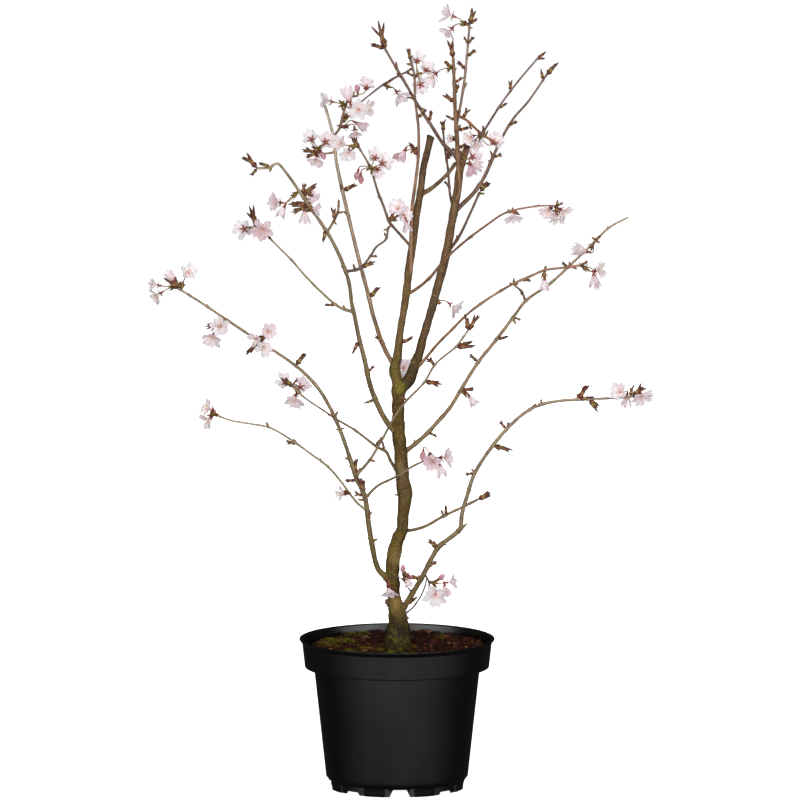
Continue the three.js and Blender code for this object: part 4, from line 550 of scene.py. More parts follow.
class Piece:
    """Corners, faces and values for the materials, gathered part by part into one object. Beside the
    plain values a corner has its skin, a colour, and its grain, its place in its limb laid straight."""

    def __init__(self, name, materials):
        self.name = name
        self.materials = materials
        self.points, self.faces, self.slots, self.skins, self.grains = [], [], [], [], []
        self.values = {value: [] for value in VALUES}
        self.count = 0

    def add(self, points, faces, material, skin=(1.0, 1.0, 1.0), grain=(0.0, 0.0, 0.0), **values):
        """Corners and the faces between them. A value that isn't given is 0."""
        points = np.asarray(points, float)
        self.points.append(points)
        for face in faces:
            self.faces.append([int(corner) + self.count for corner in face])
        self.slots += [self.materials.index(material)] * len(faces)
        self.skins.append(np.broadcast_to(skin, (len(points), 3)))
        self.grains.append(np.broadcast_to(grain, (len(points), 3)))
        for value in VALUES:
            self.values[value].append(np.broadcast_to(values.get(value, 0.0), (len(points),)))
        self.count += len(points)

    def add_tube(self, line, radii, sides, reference, material, rise, **values):
        """A closed tube along a line. Its rise is one value, or one for each ring."""
        corners, _ = tube(line, radii, sides, reference)
        rise = np.repeat(np.broadcast_to(rise, (len(line),)), sides)
        self.add(corners, loft_faces(len(line), sides), material, rise=rise, **values)

    def add_blade(self, upper, lower, rows, material, rise, across=0.0, **values):
        """A thin closed blade between two like grids of corners."""
        across = np.tile(np.broadcast_to(across, (len(upper),)), 2)
        self.add(np.vstack([upper, lower]), blade_faces(rows, len(upper) // rows), material,
                 rise=np.tile(rise, 2), across=across, **values)

    def mesh(self):
        mesh = bpy.data.meshes.new(self.name)
        mesh.from_pydata((np.vstack(self.points) * MM).tolist(), [], self.faces)
        mesh.polygons.foreach_set("use_smooth", [True] * len(mesh.polygons))
        mesh.polygons.foreach_set("material_index", self.slots)
        layers = [(value, "FLOAT", "value", np.concatenate(self.values[value])) for value in VALUES]
        if self.materials[0] is BARK:
            colours = np.column_stack([np.vstack(self.skins), np.ones(self.count)])
            layers.append(("skin", "FLOAT_COLOR", "color", colours))
            layers.append(("grain", "FLOAT_VECTOR", "vector", np.vstack(self.grains) * MM))
        for name, kind, field, numbers in layers:
            data = mesh.attributes.new(name, kind, "POINT").data
            data.foreach_set(field, numbers.astype(np.float32).ravel())
        for material in self.materials:
            mesh.materials.append(material)
        outward = bmesh.new()
        outward.from_mesh(mesh)
        bmesh.ops.recalc_face_normals(outward, faces=outward.faces)
        outward.to_mesh(mesh)
        outward.free()
        mesh.set_sharp_from_angle(angle=math.radians(SHARP_ANGLE))
        return mesh

    def finish(self, slot, *nodes):
        """The object itself: it rides on the plant's one body and stands for the CAD nodes."""
        thing = in_scene(self.name, self.mesh())
        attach(thing, "root")
        if nodes:
            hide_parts(*nodes)


def loft_faces(rings, sides):
    """Four-sided faces between rings of corners, with a face over each end."""
    faces = []
    for row in range(rings - 1):
        for side in range(sides):
            a = row * sides + side
            b = row * sides + (side + 1) % sides
            faces.append((a, b, b + sides, a + sides))
    return faces + [tuple(reversed(range(sides))), tuple(range((rings - 1) * sides, rings * sides))]


def blade_grid(rows, columns):
    """For each corner of a blade's grid its place from root to tip, 0 to 1, and across, -1 to 1."""
    return np.repeat(np.linspace(0, 1, rows), columns), np.tile(np.linspace(-1, 1, columns), rows)


def tube(line, radii, sides, reference=BACKWARD):
    """Corners of rings round a line, with each corner's share of the way round."""
    first, second = frames(line, reference)
    turns = np.arange(sides) / sides
    angles = turns * TURN
    rings = (line[:, None, :]
             + radii[:, None, None] * (np.cos(angles)[None, :, None] * first[:, None, :]
                                       + np.sin(angles)[None, :, None] * second[:, None, :]))
    return rings.reshape(-1, 3), np.tile(turns, len(line))


def second_skin(skin, rows, columns, thickness):
    """The same grid of points, moved along its own normals."""
    grid = skin.reshape(rows, columns, 3)
    normal = np.cross(np.gradient(grid, axis=0), np.gradient(grid, axis=1)).reshape(-1, 3)
    return skin + thickness * normal / np.maximum(norm(normal, axis=1, keepdims=True), 1e-9)


def blade_faces(rows, columns):
    """Faces of a thin closed blade: an upper grid of corners, then the same grid for its under side."""
    under = rows * columns
    faces = []
    for row in range(rows - 1):
        for column in range(columns - 1):
            a = row * columns + column
            faces.append((a, a + 1, a + columns + 1, a + columns))
            faces.append((under + a, under + a + columns, under + a + columns + 1, under + a + 1))
    edge = [*range(columns)]
    edge += [row * columns + columns - 1 for row in range(1, rows)]
    edge += [(rows - 1) * columns + column for column in range(columns - 2, -1, -1)]
    edge += [row * columns for row in range(rows - 2, 0, -1)]
    for i, a in enumerate(edge):
        b = edge[(i + 1) % len(edge)]
        faces.append((b, a, under + a, under + b))
    return faces


# ---- materials ----

def srgb(red, green, blue):
    """A screen colour, 0 to 255 a channel, as the linear colour that a shader takes."""
    shares = [channel / 255 for channel in (red, green, blue)]
    return tuple(c / 12.92 if c < 0.04045 else ((c + 0.055) / 1.055) ** 2.4 for c in shares) + (1.0,)


class Finish:
    """A node material with a Principled shader, built up by short calls that return sockets."""

    def __init__(self, name, roughness, specular, **sockets):
        self.material = bpy.data.materials.new(name)
        self.material.use_nodes = True
        self.tree = self.material.node_tree
        self.shader = self.tree.nodes["Principled BSDF"]
        self.shader.inputs["Roughness"].default_value = roughness
        self.shader.inputs["Specular IOR Level"].default_value = specular
        for socket, value in sockets.items():
            self.shader.inputs[socket.replace("_", " ")].default_value = value
        self.spot = self.node("ShaderNodeTexCoord").outputs["Object"]

    def node(self, kind, **settings):
        node = self.tree.nodes.new(kind)
        for name, value in settings.items():
            setattr(node, name, value)
        return node

    def join(self, source, socket):
        if hasattr(source, "is_output"):
            self.tree.links.new(source, socket)
        else:
            socket.default_value = source

    def value(self, name):
        return self.node("ShaderNodeAttribute", attribute_name=name).outputs["Fac"]

    def vector(self, name):
        return self.node("ShaderNodeAttribute", attribute_name=name).outputs["Vector"]

    def noise(self, size, detail, stretch=(1, 1, 1), at=None):
        """Noise whose bumps are about size millimetres across, on the object or on other coordinates."""
        spread = self.node("ShaderNodeVectorMath", operation="MULTIPLY")
        self.join(at or self.spot, spread.inputs[0])
        spread.inputs[1].default_value = stretch
        noise = self.node("ShaderNodeTexNoise")
        self.join(spread.outputs[0], noise.inputs["Vector"])
        noise.inputs["Scale"].default_value = 1 / (size * MM)
        noise.inputs["Detail"].default_value = detail
        return noise.outputs["Fac"]

    def speckle(self, size):
        cells = self.node("ShaderNodeTexVoronoi")
        self.join(self.spot, cells.inputs["Vector"])
        cells.inputs["Scale"].default_value = 1 / (size * MM)
        return cells.outputs["Distance"]

    def ramp(self, source, *stops):
        """Colours at places from 0 to 1."""
        ramp = self.node("ShaderNodeValToRGB")
        band = ramp.color_ramp
        while len(band.elements) < len(stops):
            band.elements.new(0.5)
        for element, (position, colour) in zip(band.elements, stops):
            element.position = position
            element.color = srgb(*colour)
        self.join(source, ramp.inputs["Fac"])
        return ramp.outputs["Color"]

    def span(self, source, low, high, to_low=0.0, to_high=1.0):
        """A value stretched from one span to another and held within it."""
        span = self.node("ShaderNodeMapRange")
        self.join(source, span.inputs["Value"])
        for socket, value in zip(("From Min", "From Max", "To Min", "To Max"), (low, high, to_low, to_high)):
            span.inputs[socket].default_value = value
        return span.outputs["Result"]

    def maths(self, operation, first, second=0.0):
        maths = self.node("ShaderNodeMath", operation=operation)
        self.join(first, maths.inputs[0])
        self.join(second, maths.inputs[1])
        return maths.outputs[0]

    def times(self, first, second):
        return self.maths("MULTIPLY", first, second)

    def blend(self, *parts):
        """A weighted sum of (weight, value) pairs."""
        total = self.times(parts[0][1], parts[0][0])
        for weight, value in parts[1:]:
            total = self.maths("ADD", total, self.times(value, weight))
        return total

    def mix(self, share, first, second):
        mix = self.node("ShaderNodeMix", data_type="RGBA")
        self.join(share, mix.inputs["Factor"])
        self.join(first, mix.inputs[6])
        self.join(srgb(*second) if isinstance(second, tuple) else second, mix.inputs[7])
        return mix.outputs[2]

    def veil(self, source, low, high, most, under, over):
        """A colour laid over another, up to a share of most as the source goes from low to high."""
        return self.mix(self.span(source, low, high, 0.0, most), under, over)

    def stripes(self, count):
        """Fine stripes along a scale or petal: 0 in the middle of each one and 1 between them."""
        return self.maths("ABSOLUTE", self.maths("SINE", self.times(self.value("across"), count)))

    def scaled(self, colour, factor):
        scale = self.node("ShaderNodeVectorMath", operation="SCALE")
        self.join(colour, scale.inputs[0])
        self.join(factor, scale.inputs["Scale"])
        return scale.outputs[0]

    def bump(self, height, depth, strength=1.0):
        """Relief whose full height is depth millimetres."""
        bump = self.node("ShaderNodeBump")
        bump.inputs["Strength"].default_value = strength
        bump.inputs["Distance"].default_value = depth * MM
        self.join(height, bump.inputs["Height"])
        self.join(bump.outputs["Normal"], self.shader.inputs["Normal"])

    def colour(self, source):
        self.join(source, self.shader.inputs["Base Color"])

    def roughness(self, source):
        self.join(source, self.shader.inputs["Roughness"])


def plastic_finish():
    """Matt black moulded plastic: a fine grain, soft streaks down the wall, and a little dust."""
    finish = Finish("pot_plastic", 0.5, 0.45)
    cloud = finish.noise(60, 3)
    streak = finish.noise(9, 2, stretch=(1, 1, 0.08))
    tone = finish.blend((0.6, cloud), (0.4, streak))
    black = finish.ramp(tone, (0.3, (4, 4, 4)), (0.7, (8, 8, 8)))
    dust = finish.times(finish.span(finish.speckle(2.6), 0.2, 0.1), finish.span(cloud, 0.45, 0.7))
    finish.colour(finish.mix(finish.times(dust, 0.05), black, (84, 78, 72)))
    finish.roughness(finish.span(tone, 0.3, 0.7, 0.31, 0.37))
    finish.bump(finish.noise(0.7, 2), 0.05, 0.5)
    return finish.material


def compost_finish():
    """Dark crumb between the fibres."""
    finish = Finish("compost", 0.95, 0.2)
    crumb = finish.noise(2.2, 6)
    patch = finish.noise(28, 3)
    dark = finish.ramp(crumb, (0.3, (12, 7, 5)), (0.55, (38, 19, 12)), (0.8, (78, 38, 22)))
    finish.colour(finish.veil(patch, 0.35, 0.7, 0.55, dark, (24, 16, 9)))
    finish.bump(crumb, 1.4)
    return finish.material


def fibre_finish():
    """Bark chips and peat fibres: near black, red-brown and a few tan ones."""
    finish = Finish("peat_fibre", 0.85, 0.25)
    grain = finish.noise(1.2, 4)
    base = finish.ramp(
        finish.value("tone"), (0.0, (18, 8, 6)), (0.35, (50, 22, 14)), (0.7, (92, 44, 26)),
        (0.9, (130, 72, 40)), (1.0, (188, 140, 88)))
    finish.colour(finish.veil(grain, 0.35, 0.65, 0.6, base, (28, 13, 9)))
    finish.bump(grain, 0.3)
    return finish.material


def moss_finish():
    """Moss, dark between its shoots and yellow-green at their tips."""
    finish = Finish("moss", 0.8, 0.25)
    rise = finish.value("rise")
    yellow = finish.ramp(rise, (0.0, (36, 32, 6)), (0.5, (112, 102, 20)), (1.0, (196, 180, 70)))
    green = finish.ramp(rise, (0.0, (26, 27, 5)), (0.5, (84, 84, 15)), (1.0, (150, 146, 46)))
    finish.colour(finish.mix(finish.value("tone"), yellow, green))
    finish.bump(finish.noise(0.5, 2), 0.1, 0.5)
    return finish.material


def bark_finish():
    """Bark over each limb's own skin colour: streaks along the limb, rings and pale dashes round it,
    dark flecks, green algae on old wood, and clumps of moss at the trunk's foot."""
    finish = Finish("bark", 0.7, 0.2)
    grain, age, skin = finish.vector("grain"), finish.value("age"), finish.vector("skin")
    fine = finish.noise(1.1, 4)
    drawn = finish.noise(1.7, 3, stretch=(1, 1, 0.1), at=grain)
    broad = finish.noise(8, 3, stretch=(1, 1, 0.45), at=grain)
    rings = finish.noise(2.2, 3, stretch=(0.12, 0.12, 1), at=grain)
    dashes = finish.noise(1.5, 2, stretch=(0.3, 0.3, 1.1), at=grain)
    mottle = finish.blend((0.3, fine), (0.35, drawn), (0.35, broad))
    shade = (finish.span(mottle, 0.37, 0.63, 0.4, 1.5), finish.span(rings, 0.4, 0.7, 0.06, -0.16))
    skin = finish.scaled(skin, finish.maths("ADD", *shade))
    green = finish.times(finish.value("green"), finish.span(broad, 0.45, 0.62, 0.0, 0.7))
    skin = finish.mix(green, skin, finish.ramp(fine, (0.35, (58, 54, 12)), (0.65, (116, 108, 32))))
    foot = finish.value("foot")
    pale = finish.times(finish.span(dashes, 0.6, 0.7), finish.span(age, 0.0, 1.0, 0.22, 0.42))
    pale = finish.times(pale, finish.span(foot, 0.0, 0.6, 1.0, 0.12))
    skin = finish.mix(pale, skin, (172, 146, 102))
    clumps = finish.blend((0.6, finish.noise(1.5, 5)), (0.4, finish.noise(7, 2)))
    clumps = finish.ramp(
        clumps, (0.4, (12, 9, 2)), (0.5, (36, 29, 8)), (0.57, (62, 55, 10)), (0.66, (120, 112, 24)))
    skin = finish.mix(finish.times(foot, 0.93), skin, clumps)
    flecks = finish.times(finish.span(finish.noise(1.0, 3), 0.6, 0.68), finish.span(age, 0.0, 1.0, 0.3, 0.8))
    skin = finish.mix(flecks, skin, (40, 28, 16))
    finish.colour(skin)
    finish.roughness(finish.span(age, 0.0, 1.0, 0.5, 0.85))
    height = finish.blend((0.6, mottle), (0.3, rings), (0.25, pale), (-0.3, flecks))
    finish.bump(height, 1.0)
    return finish.material


def cut_finish():
    """The sawn tops of the leaders: grey, cracked end grain."""
    finish = Finish("cut_wood", 0.9, 0.2)
    grain = finish.noise(1.1, 4)
    finish.colour(finish.ramp(grain, (0.35, (40, 30, 20)), (0.55, (92, 74, 50)), (0.7, (140, 118, 86))))
    finish.bump(grain, 0.5)
    return finish.material


def scale_finish():
    """Bud scales: dark red at the foot, olive or tan above it, and grey-brown at the points."""
    finish = Finish("bud_scale", 0.5, 0.35)
    rise, fine = finish.value("rise"), finish.noise(0.9, 3)
    warm = finish.ramp(
        rise, (0.0, (92, 70, 56)), (0.14, (78, 38, 30)), (0.38, (110, 48, 34)), (0.5, (166, 124, 70)),
        (0.68, (118, 62, 44)), (0.86, (84, 42, 36)), (1.0, (66, 38, 36)))
    olive = finish.ramp(
        rise, (0.0, (84, 66, 48)), (0.14, (70, 36, 28)), (0.38, (98, 54, 32)), (0.5, (156, 146, 54)),
        (0.68, (116, 88, 46)), (0.86, (84, 50, 38)), (1.0, (68, 42, 38)))
    skin = finish.mix(finish.value("tone"), warm, olive)
    line = finish.stripes(15.7)
    skin = finish.veil(line, 0.35, 0.05, 0.5, skin, (66, 34, 26))
    finish.colour(finish.veil(fine, 0.45, 0.72, 0.5, skin, (62, 32, 26)))
    finish.bump(finish.blend((0.5, fine), (0.5, line)), 0.25)
    return finish.material


def petal_finish_with_painted_glow():
    """Thin petals that let some light through, white to pale pink with a pinker claw and faint veins, and a
    painted pink glow that brightens their shade.
    """
    # The emission is a painted glow: the petals give off a faint pink light of their own, which lifts their
    # shaded parts.
    finish = Finish(
        "petal", 0.55, 0.2, Subsurface_Weight=0.8, Subsurface_Scale=0.0015,
        Subsurface_Radius=(1.0, 0.85, 0.88), Emission_Strength=0.15, Emission_Color=(1.0, 0.82, 0.86, 1.0))
    rise = finish.value("rise")
    pale = finish.ramp(
        rise, (0.0, (230, 168, 168)), (0.16, (241, 217, 217)), (0.4, (242, 234, 236)), (0.8, (241, 231, 236)),
        (1.0, (237, 220, 230)))
    pink = finish.ramp(
        rise, (0.0, (140, 48, 60)), (0.25, (150, 66, 84)), (0.6, (186, 116, 136)), (1.0, (196, 112, 146)))
    skin = finish.mix(finish.value("tone"), pale, pink)
    vein = finish.stripes(11.0)
    streak = finish.times(finish.span(vein, 0.3, 0.0), finish.span(rise, 0.95, 0.3))
    skin = finish.mix(finish.times(streak, 0.2), skin, (212, 170, 184))
    cloud = finish.noise(5, 2)
    finish.colour(finish.veil(cloud, 0.45, 0.75, 0.35, skin, (224, 208, 216)))
    finish.bump(finish.blend((1, vein), (1, finish.noise(1.4, 2))), 0.05, 0.5)
    return finish.material


def calyx_finish():
    """Stalks, calyces and sepals: olive-brown at the spur, red-brown at the flower."""
    finish = Finish("calyx", 0.5, 0.35)
    rise, fine = finish.value("rise"), finish.noise(0.8, 3)
    skin = finish.ramp(
        rise, (0.0, (132, 124, 62)), (0.4, (140, 112, 62)), (0.7, (138, 76, 58)), (0.86, (136, 68, 56)),
        (1.0, (118, 52, 44)))
    pink = finish.ramp(
        rise, (0.0, (146, 138, 74)), (0.5, (152, 112, 74)), (0.86, (148, 66, 62)), (1.0, (134, 54, 52)))
    skin = finish.mix(finish.value("tone"), skin, pink)
    finish.colour(finish.veil(fine, 0.45, 0.7, 0.4, skin, (84, 36, 32)))
    finish.bump(fine, 0.15)
    return finish.material


def stamen_finish():
    """Pale pink filaments with yellow anthers."""
    finish = Finish("stamen", 0.6, 0.3)
    skin = finish.ramp(
        finish.value("rise"), (0.0, (214, 130, 120)), (0.5, (236, 216, 200)), (0.8, (236, 220, 184)),
        (0.86, (226, 190, 120)), (1.0, (214, 166, 96)))
    grain = finish.noise(0.3, 2)
    finish.colour(finish.veil(grain, 0.5, 0.75, 0.3, skin, (168, 100, 52)))
    finish.bump(grain, 0.06)
    return finish.material


PLASTIC, COMPOST, FIBRE, MOSS = plastic_finish(), compost_finish(), fibre_finish(), moss_finish()
BARK, CUT, SCALE = bark_finish(), cut_finish(), scale_finish()
PETAL, CALYX, STAMEN = petal_finish_with_painted_glow(), calyx_finish(), stamen_finish()


# ---- the pot ----

def straight(z, low_z, low, high_z, high):
    """The radius of a straight wall at a height, from its radius at two others."""
    return low + (high - low) * ((z - low_z) / (high_z - low_z))


def wall_radius(z):
    """Outer radius of the pot's wall below the collar."""
    return straight(z, POT["body_low_z"], POT["body_low"], POT["collar_z"], POT["body_top"])


def collar_radius(z):
    """Outer radius of the collar."""
    return straight(z, POT["collar_z"], POT["collar_bottom"], POT["height"], POT["collar_top"])


def rounded(corners, cut=0.5, steps=3, support=0.8, long=4):
    """A profile with each inner corner rounded by a short arc. Long walls get a further ring near each
    end, which keeps their shading straight."""
    corners = [np.array(corner, float) for corner in corners]
    profile = [corners[0]]
    for before, corner, after in zip(corners, corners[1:], corners[2:]):
        back, ahead = before - corner, after - corner
        reach = min(cut, norm(back) * 0.45, norm(ahead) * 0.45)
        start, end = corner + unit(back) * reach, corner + unit(ahead) * reach
        if norm(back) > long:
            profile.append(start + unit(back) * support)
        for t in np.linspace(0, 1, steps):
            profile.append((1 - t) ** 2 * start + 2 * t * (1 - t) * corner + t**2 * end)
        if norm(ahead) > long:
            profile.append(end + unit(ahead) * support)
    return np.array(profile + [corners[-1]])


# The step from the foot's skirt out to the wall, as radius and height, and where the skirt ends below it.
STEP = [(69.8, 10.9), (70.55, 11.6), (70.95, 12.0), (71.4, 15)]
SKIRT_RADIUS, SKIRT_TOP = 69.6, 10.6
# The skirt's rings of corners, as shares of its height.
SKIRT_RINGS = (0, 0.04, 0.4, 0.66, 0.75, 0.82, 0.91, 1)
# The rolled lip: how deep it is, and its rounding as steps in from its radius and down from the top.
LIP_DEPTH = 4.6
LIP_ROUNDING = [(0.15, 0.9), (0.2, 0.3), (0.7, 0)]
FLANK_RUNOUT = 0.7  # how far the flank of a notch runs on past its corners
FLOOR_MIDDLE = 10  # radius of the flat middle of the floor, which is one face


def foot_columns():
    """Angles round the pot, closer together at the edges of each notch and its recessed panel, with the
    height of the foot's lower edge there and whether the skirt is recessed."""
    pitch = TURN / NOTCH["count"]
    edge = NOTCH["panel"] / 2
    angles, lifts, panels = [], [], []
    for notch in range(NOTCH["count"]):
        height, top, bottom = NOTCH["high"] if notch % 2 == 0 else NOTCH["low"]
        low_corner = bottom / 2 + FLANK_RUNOUT
        flank = np.linspace(top / 2 - FLANK_RUNOUT, low_corner, 9)
        side = [0, 2.2, *flank, bottom / 2 + 2.6, edge - 0.7, edge - 0.1, edge + 0.3, edge + 1.4]
        spans = np.array([-s for s in reversed(side[1:])] + side) / POT["foot_radius"]
        plain = np.linspace(spans[-1], pitch - spans[-1], 8)[1:-1]
        middle = -math.pi / 2 + math.radians(NOTCH["turn"]) + notch * pitch
        for offset in [*spans, *plain]:
            reach = abs(offset) * POT["foot_radius"]
            share = np.clip((low_corner - reach) / ((bottom - top) / 2 + 2 * FLANK_RUNOUT), 0, 1)
            angles.append(middle + offset)
            lifts.append(height * np.clip(1.15 * math.sin(share * math.pi / 2) ** 1.2, 0, 1))
            panels.append(1.0 if reach < edge else 0.0)
    return np.array(angles), np.array(lifts), np.array(panels)


def nursery_pot():
    """The moulded pot: one closed wall from the floor's middle, down the foot, up the outside, over the
    rolled lip, and down the inside."""
    angles, lifts, panels = foot_columns()
    foot, floor, wall = POT["foot_radius"], POT["floor"], POT["wall"]
    inside = foot - POT["foot_thickness"]
    height, lip = POT["height"], POT["lip_radius"]
    upper = rounded([
        *STEP, (POT["body_top"], POT["collar_z"]), (POT["collar_bottom"], POT["collar_z"]),
        (collar_radius(height - LIP_DEPTH), height - LIP_DEPTH),
        *[(lip - inward, height - down) for inward, down in LIP_ROUNDING],
        (lip - POT["lip_thickness"], height - 0.3),
        (POT["collar_bottom"] - wall, POT["collar_z"] + wall),
        (POT["body_top"] - wall, POT["collar_z"] + wall),
        (wall_radius(floor) - wall, floor + wall + 2), (wall_radius(floor) - wall - 3, floor + wall),
        (FLOOR_MIDDLE, floor + wall),
    ])
    rings = [(FLOOR_MIDDLE, floor), (inside - 0.4, floor)]
    for t in (0.3, 0.7, 1):
        rings.append((inside + 0.1 * (1 - t), lifts + (floor - 0.3 - lifts) * (1 - t)))
    for t in SKIRT_RINGS:
        z = lifts + (SKIRT_TOP - lifts) * t
        outside = foot + (SKIRT_RADIUS - foot) * (z / SKIRT_TOP) ** 2.5 - (0.3 if t == 0 else 0)
        recess = panels * np.clip((NOTCH["high"][0] + 1.5 - z) / 0.7, 0, 1)
        rings.append((outside + (foot - NOTCH["panel_depth"] - outside) * recess, z))
    rings += [*upper]
    corners = np.vstack([ring(radius, angles, z) for radius, z in rings])
    pot = Piece("nursery_pot_moulded", [PLASTIC])
    pot.add(corners, loft_faces(len(rings), len(angles)), PLASTIC)
    pot.finish("pot_plastic", "nursery_pot")


# ---- the compost ----

def soil_height(x, y):
    """The compost's top before it is crumbled: two broad waves on a gentle slope."""
    broad = np.sin(x * 0.13 + 1.2) * np.cos(y * 0.11 - 0.6)
    small = 0.6 * np.sin(x * 0.29 + y * 0.23)
    return SOIL["crown"] + SOIL["back_rise"] * y + SOIL["bump"] * (broad + small)


# The relief of the compost's top: the height and width of its bumps.
CRUMBS = [(1.0, 9), (0.8, 4.5), (0.5, 2.4)]
# Loose pieces on the compost: how many, and how far out they lie.
FIBRES = dict(count=2300, reach=88, limit=89)
CHIPS = dict(count=700, reach=86)


def compost():
    """The body of the compost, crumbled on top."""
    turn = circle(SOIL["corners"])
    under = POT["floor"] + POT["wall"] + SOIL["gap"]
    ledge = POT["collar_z"] + POT["wall"] + SOIL["gap"]
    slack = POT["wall"] + SOIL["side_gap"]
    rim = collar_radius(SOIL["crown"] - 4) - slack
    rings = [ring(wall_radius(under) - slack - 3.5, turn, under), ring(POT["body_top"] - slack, turn, ledge),
             ring(POT["collar_bottom"] - slack, turn, ledge)]
    for share in np.linspace(1, 0.0004, SOIL["rings"]):
        top = ring(rim * math.sqrt(share), turn, 0)
        top[:, 2] = soil_height(top[:, 0], top[:, 1])
        fine = sum(high * relief(top, wide, LOOK_SEED["crumb"] + i) for i, (high, wide) in enumerate(CRUMBS))
        top[:, 2] += fine - 0.6
        rings.append(top)
    soil = Piece("compost_body", [COMPOST])
    soil.add(np.vstack(rings), loft_faces(len(rings), len(turn)), COMPOST)
    soil.finish("compost", "potting_soil")


def scattered(count, rng, reach):
    """Places on the compost, evenly spread, clear of the trunk."""
    radius = reach * np.sqrt(rng.uniform(0.03, 1, count))
    turn = rng.uniform(0, TURN, count)
    return np.column_stack([radius * np.cos(turn), radius * np.sin(turn)])


def soil_fibres():
    """Strips of bark and peat fibre, some lying flat and some standing proud, with a few curled tan ones."""
    rng = np.random.RandomState(LOOK_SEED["fibres"])
    litter = Piece("compost_fibres", [FIBRE])
    for x, y in scattered(FIBRES["count"], rng, FIBRES["reach"]):
        length = rng.uniform(3, 9) if rng.uniform() < 0.8 else rng.uniform(8, 19)
        radius = rng.uniform(0.35, 0.95) if length < 9 else rng.uniform(0.3, 0.6)
        heading, pitch = rng.uniform(0, TURN), rng.normal(0, 0.28)
        level = math.cos(pitch)
        way = np.array([math.cos(heading) * level, math.sin(heading) * level, math.sin(pitch)])
        middle = np.array([x, y, soil_height(x, y) + rng.uniform(-0.3, 1.3)])
        bow = np.array([-way[1], way[0], 0.4]) * rng.normal(0, 0.16) * length
        t = np.linspace(-0.5, 0.5, 5)[:, None]
        line = middle + way * length * t + bow * (0.25 - t**2) * 2
        outer = np.hypot(line[:, 0], line[:, 1]).max()
        if outer > FIBRES["limit"]:
            line[:, :2] *= FIBRES["limit"] / outer
        corners, _ = tube(line, radius * np.array([0.35, 0.9, 1, 0.85, 0.3]), 5, UPWARD)
        flat = rng.uniform(0.35, 0.9)
        corners[:, 2] = middle[2] + (corners[:, 2] - middle[2]) * flat
        tone = rng.beta(1.6, 2.6) if rng.uniform() < 0.9 else rng.uniform(0.8, 1)
        litter.add(corners, loft_faces(len(line), 5), FIBRE, tone=tone)
    litter.finish("compost")


def soil_chips():
    """Flat flakes of bark."""
    rng = np.random.RandomState(LOOK_SEED["chips"])
    litter = Piece("compost_chips", [FIBRE])
    for x, y in scattered(CHIPS["count"], rng, CHIPS["reach"]):
        size = rng.uniform(1.4, 4.2)
        turn = np.sort(rng.uniform(0, TURN, 6)) + rng.uniform(0, 6)
        outline = np.column_stack([np.cos(turn), np.sin(turn)]) * size * rng.uniform(0.6, 1.1, (6, 1))
        outline[:, 1] *= rng.uniform(0.4, 1)
        tilt = rng.normal(0, 0.3, 2)
        height = soil_height(x, y) + rng.uniform(-0.2, 1.2)
        upper = np.column_stack([outline[:, 0] + x, outline[:, 1] + y, height + outline @ tilt])
        lower = upper - np.array([0, 0, rng.uniform(0.5, 1.1)])
        litter.add(np.vstack([lower, upper]), loft_faces(2, 6), FIBRE, tone=rng.beta(1.5, 3))
    litter.finish("compost")


# Cushions of moss: across, depth, radius, height, shoots.
CUSHIONS = [
    (-64, 30, 15, 2.4, 420), (-52, 40, 13, 2.2, 330), (-74, 22, 8, 1.8, 130), (-42, 66, 11, 2.2, 220),
    (-33, 76, 8, 2, 130), (-29, 2, 9, 2.6, 220), (-19, -6, 8, 2.4, 190), (-38, 10, 7, 2, 120),
    (-47, -12, 10, 2.2, 190), (10, -20, 8, 2.2, 160), (-6, -19, 7, 2.4, 150), (16, 8, 5, 2, 70),
    (-14, 16, 7, 2, 90), (30, -46, 9, 1.8, 120), (-66, -30, 9, 1.8, 130), (44, 58, 7, 1.6, 70),
]


MOSS_LEAVES = 7
SPIRAL = 2.4  # the turn from one leaf or scale to the next, in radians


def moss_shoot(moss, root, height, rng):
    """One leafy shoot of moss: small pointed leaves that stand out in turns up a hidden stem."""
    tone = rng.uniform()
    turn = rng.uniform(0, TURN)
    for leaf in range(MOSS_LEAVES):
        share = leaf / (MOSS_LEAVES - 1)
        angle = turn + leaf * SPIRAL
        out = np.array([math.cos(angle), math.sin(angle), 0.0])
        side = np.array([-out[1], out[0], 0.0])
        foot = root + UPWARD * height * share * 0.8
        reach = 0.85 * (1 - 0.35 * share)
        tip = foot + out * reach + UPWARD * reach * (0.35 + 0.9 * share)
        corners = [foot - side * 0.22, foot + side * 0.22, foot + UPWARD * 0.24, tip]
        moss.add(corners, [(0, 2, 1), (0, 1, 3), (1, 2, 3), (2, 0, 3)], MOSS, tone=tone,
                 rise=np.array([0.15, 0.15, 0.3, 1.0]) * (0.5 + 0.5 * share))


def moss_cushions():
    """The cushions: a low dome each, thick with shoots."""
    rng = np.random.RandomState(LOOK_SEED["moss"])
    moss = Piece("moss_cushions", [MOSS])
    for across, depth, radius, height, shoots in CUSHIONS:
        turn = circle(18)
        rings = []
        for share in (1.0, 0.8, 0.55, 0.25, 0.05):
            x = across + radius * share * np.cos(turn) * (1 + 0.12 * np.sin(3 * turn + across))
            y = depth + radius * share * np.sin(turn) * (1 + 0.12 * np.sin(2 * turn + depth))
            rings.append(np.column_stack([x, y, soil_height(x, y) - 1.4 + height * (1 - share**2)]))
        moss.add(np.vstack(rings), loft_faces(len(rings), len(turn)), MOSS, rise=0.12, tone=0.4)
        for _ in range(shoots):
            share = math.sqrt(rng.uniform())
            angle = rng.uniform(0, TURN)
            x, y = across + radius * share * math.cos(angle), depth + radius * share * math.sin(angle)
            root = np.array([x, y, soil_height(x, y) - 1.3 + height * (1 - share**2)])
            moss_shoot(moss, root, rng.uniform(0.8, 1.9), rng)
    moss.finish("compost")


# ---- the wood ----

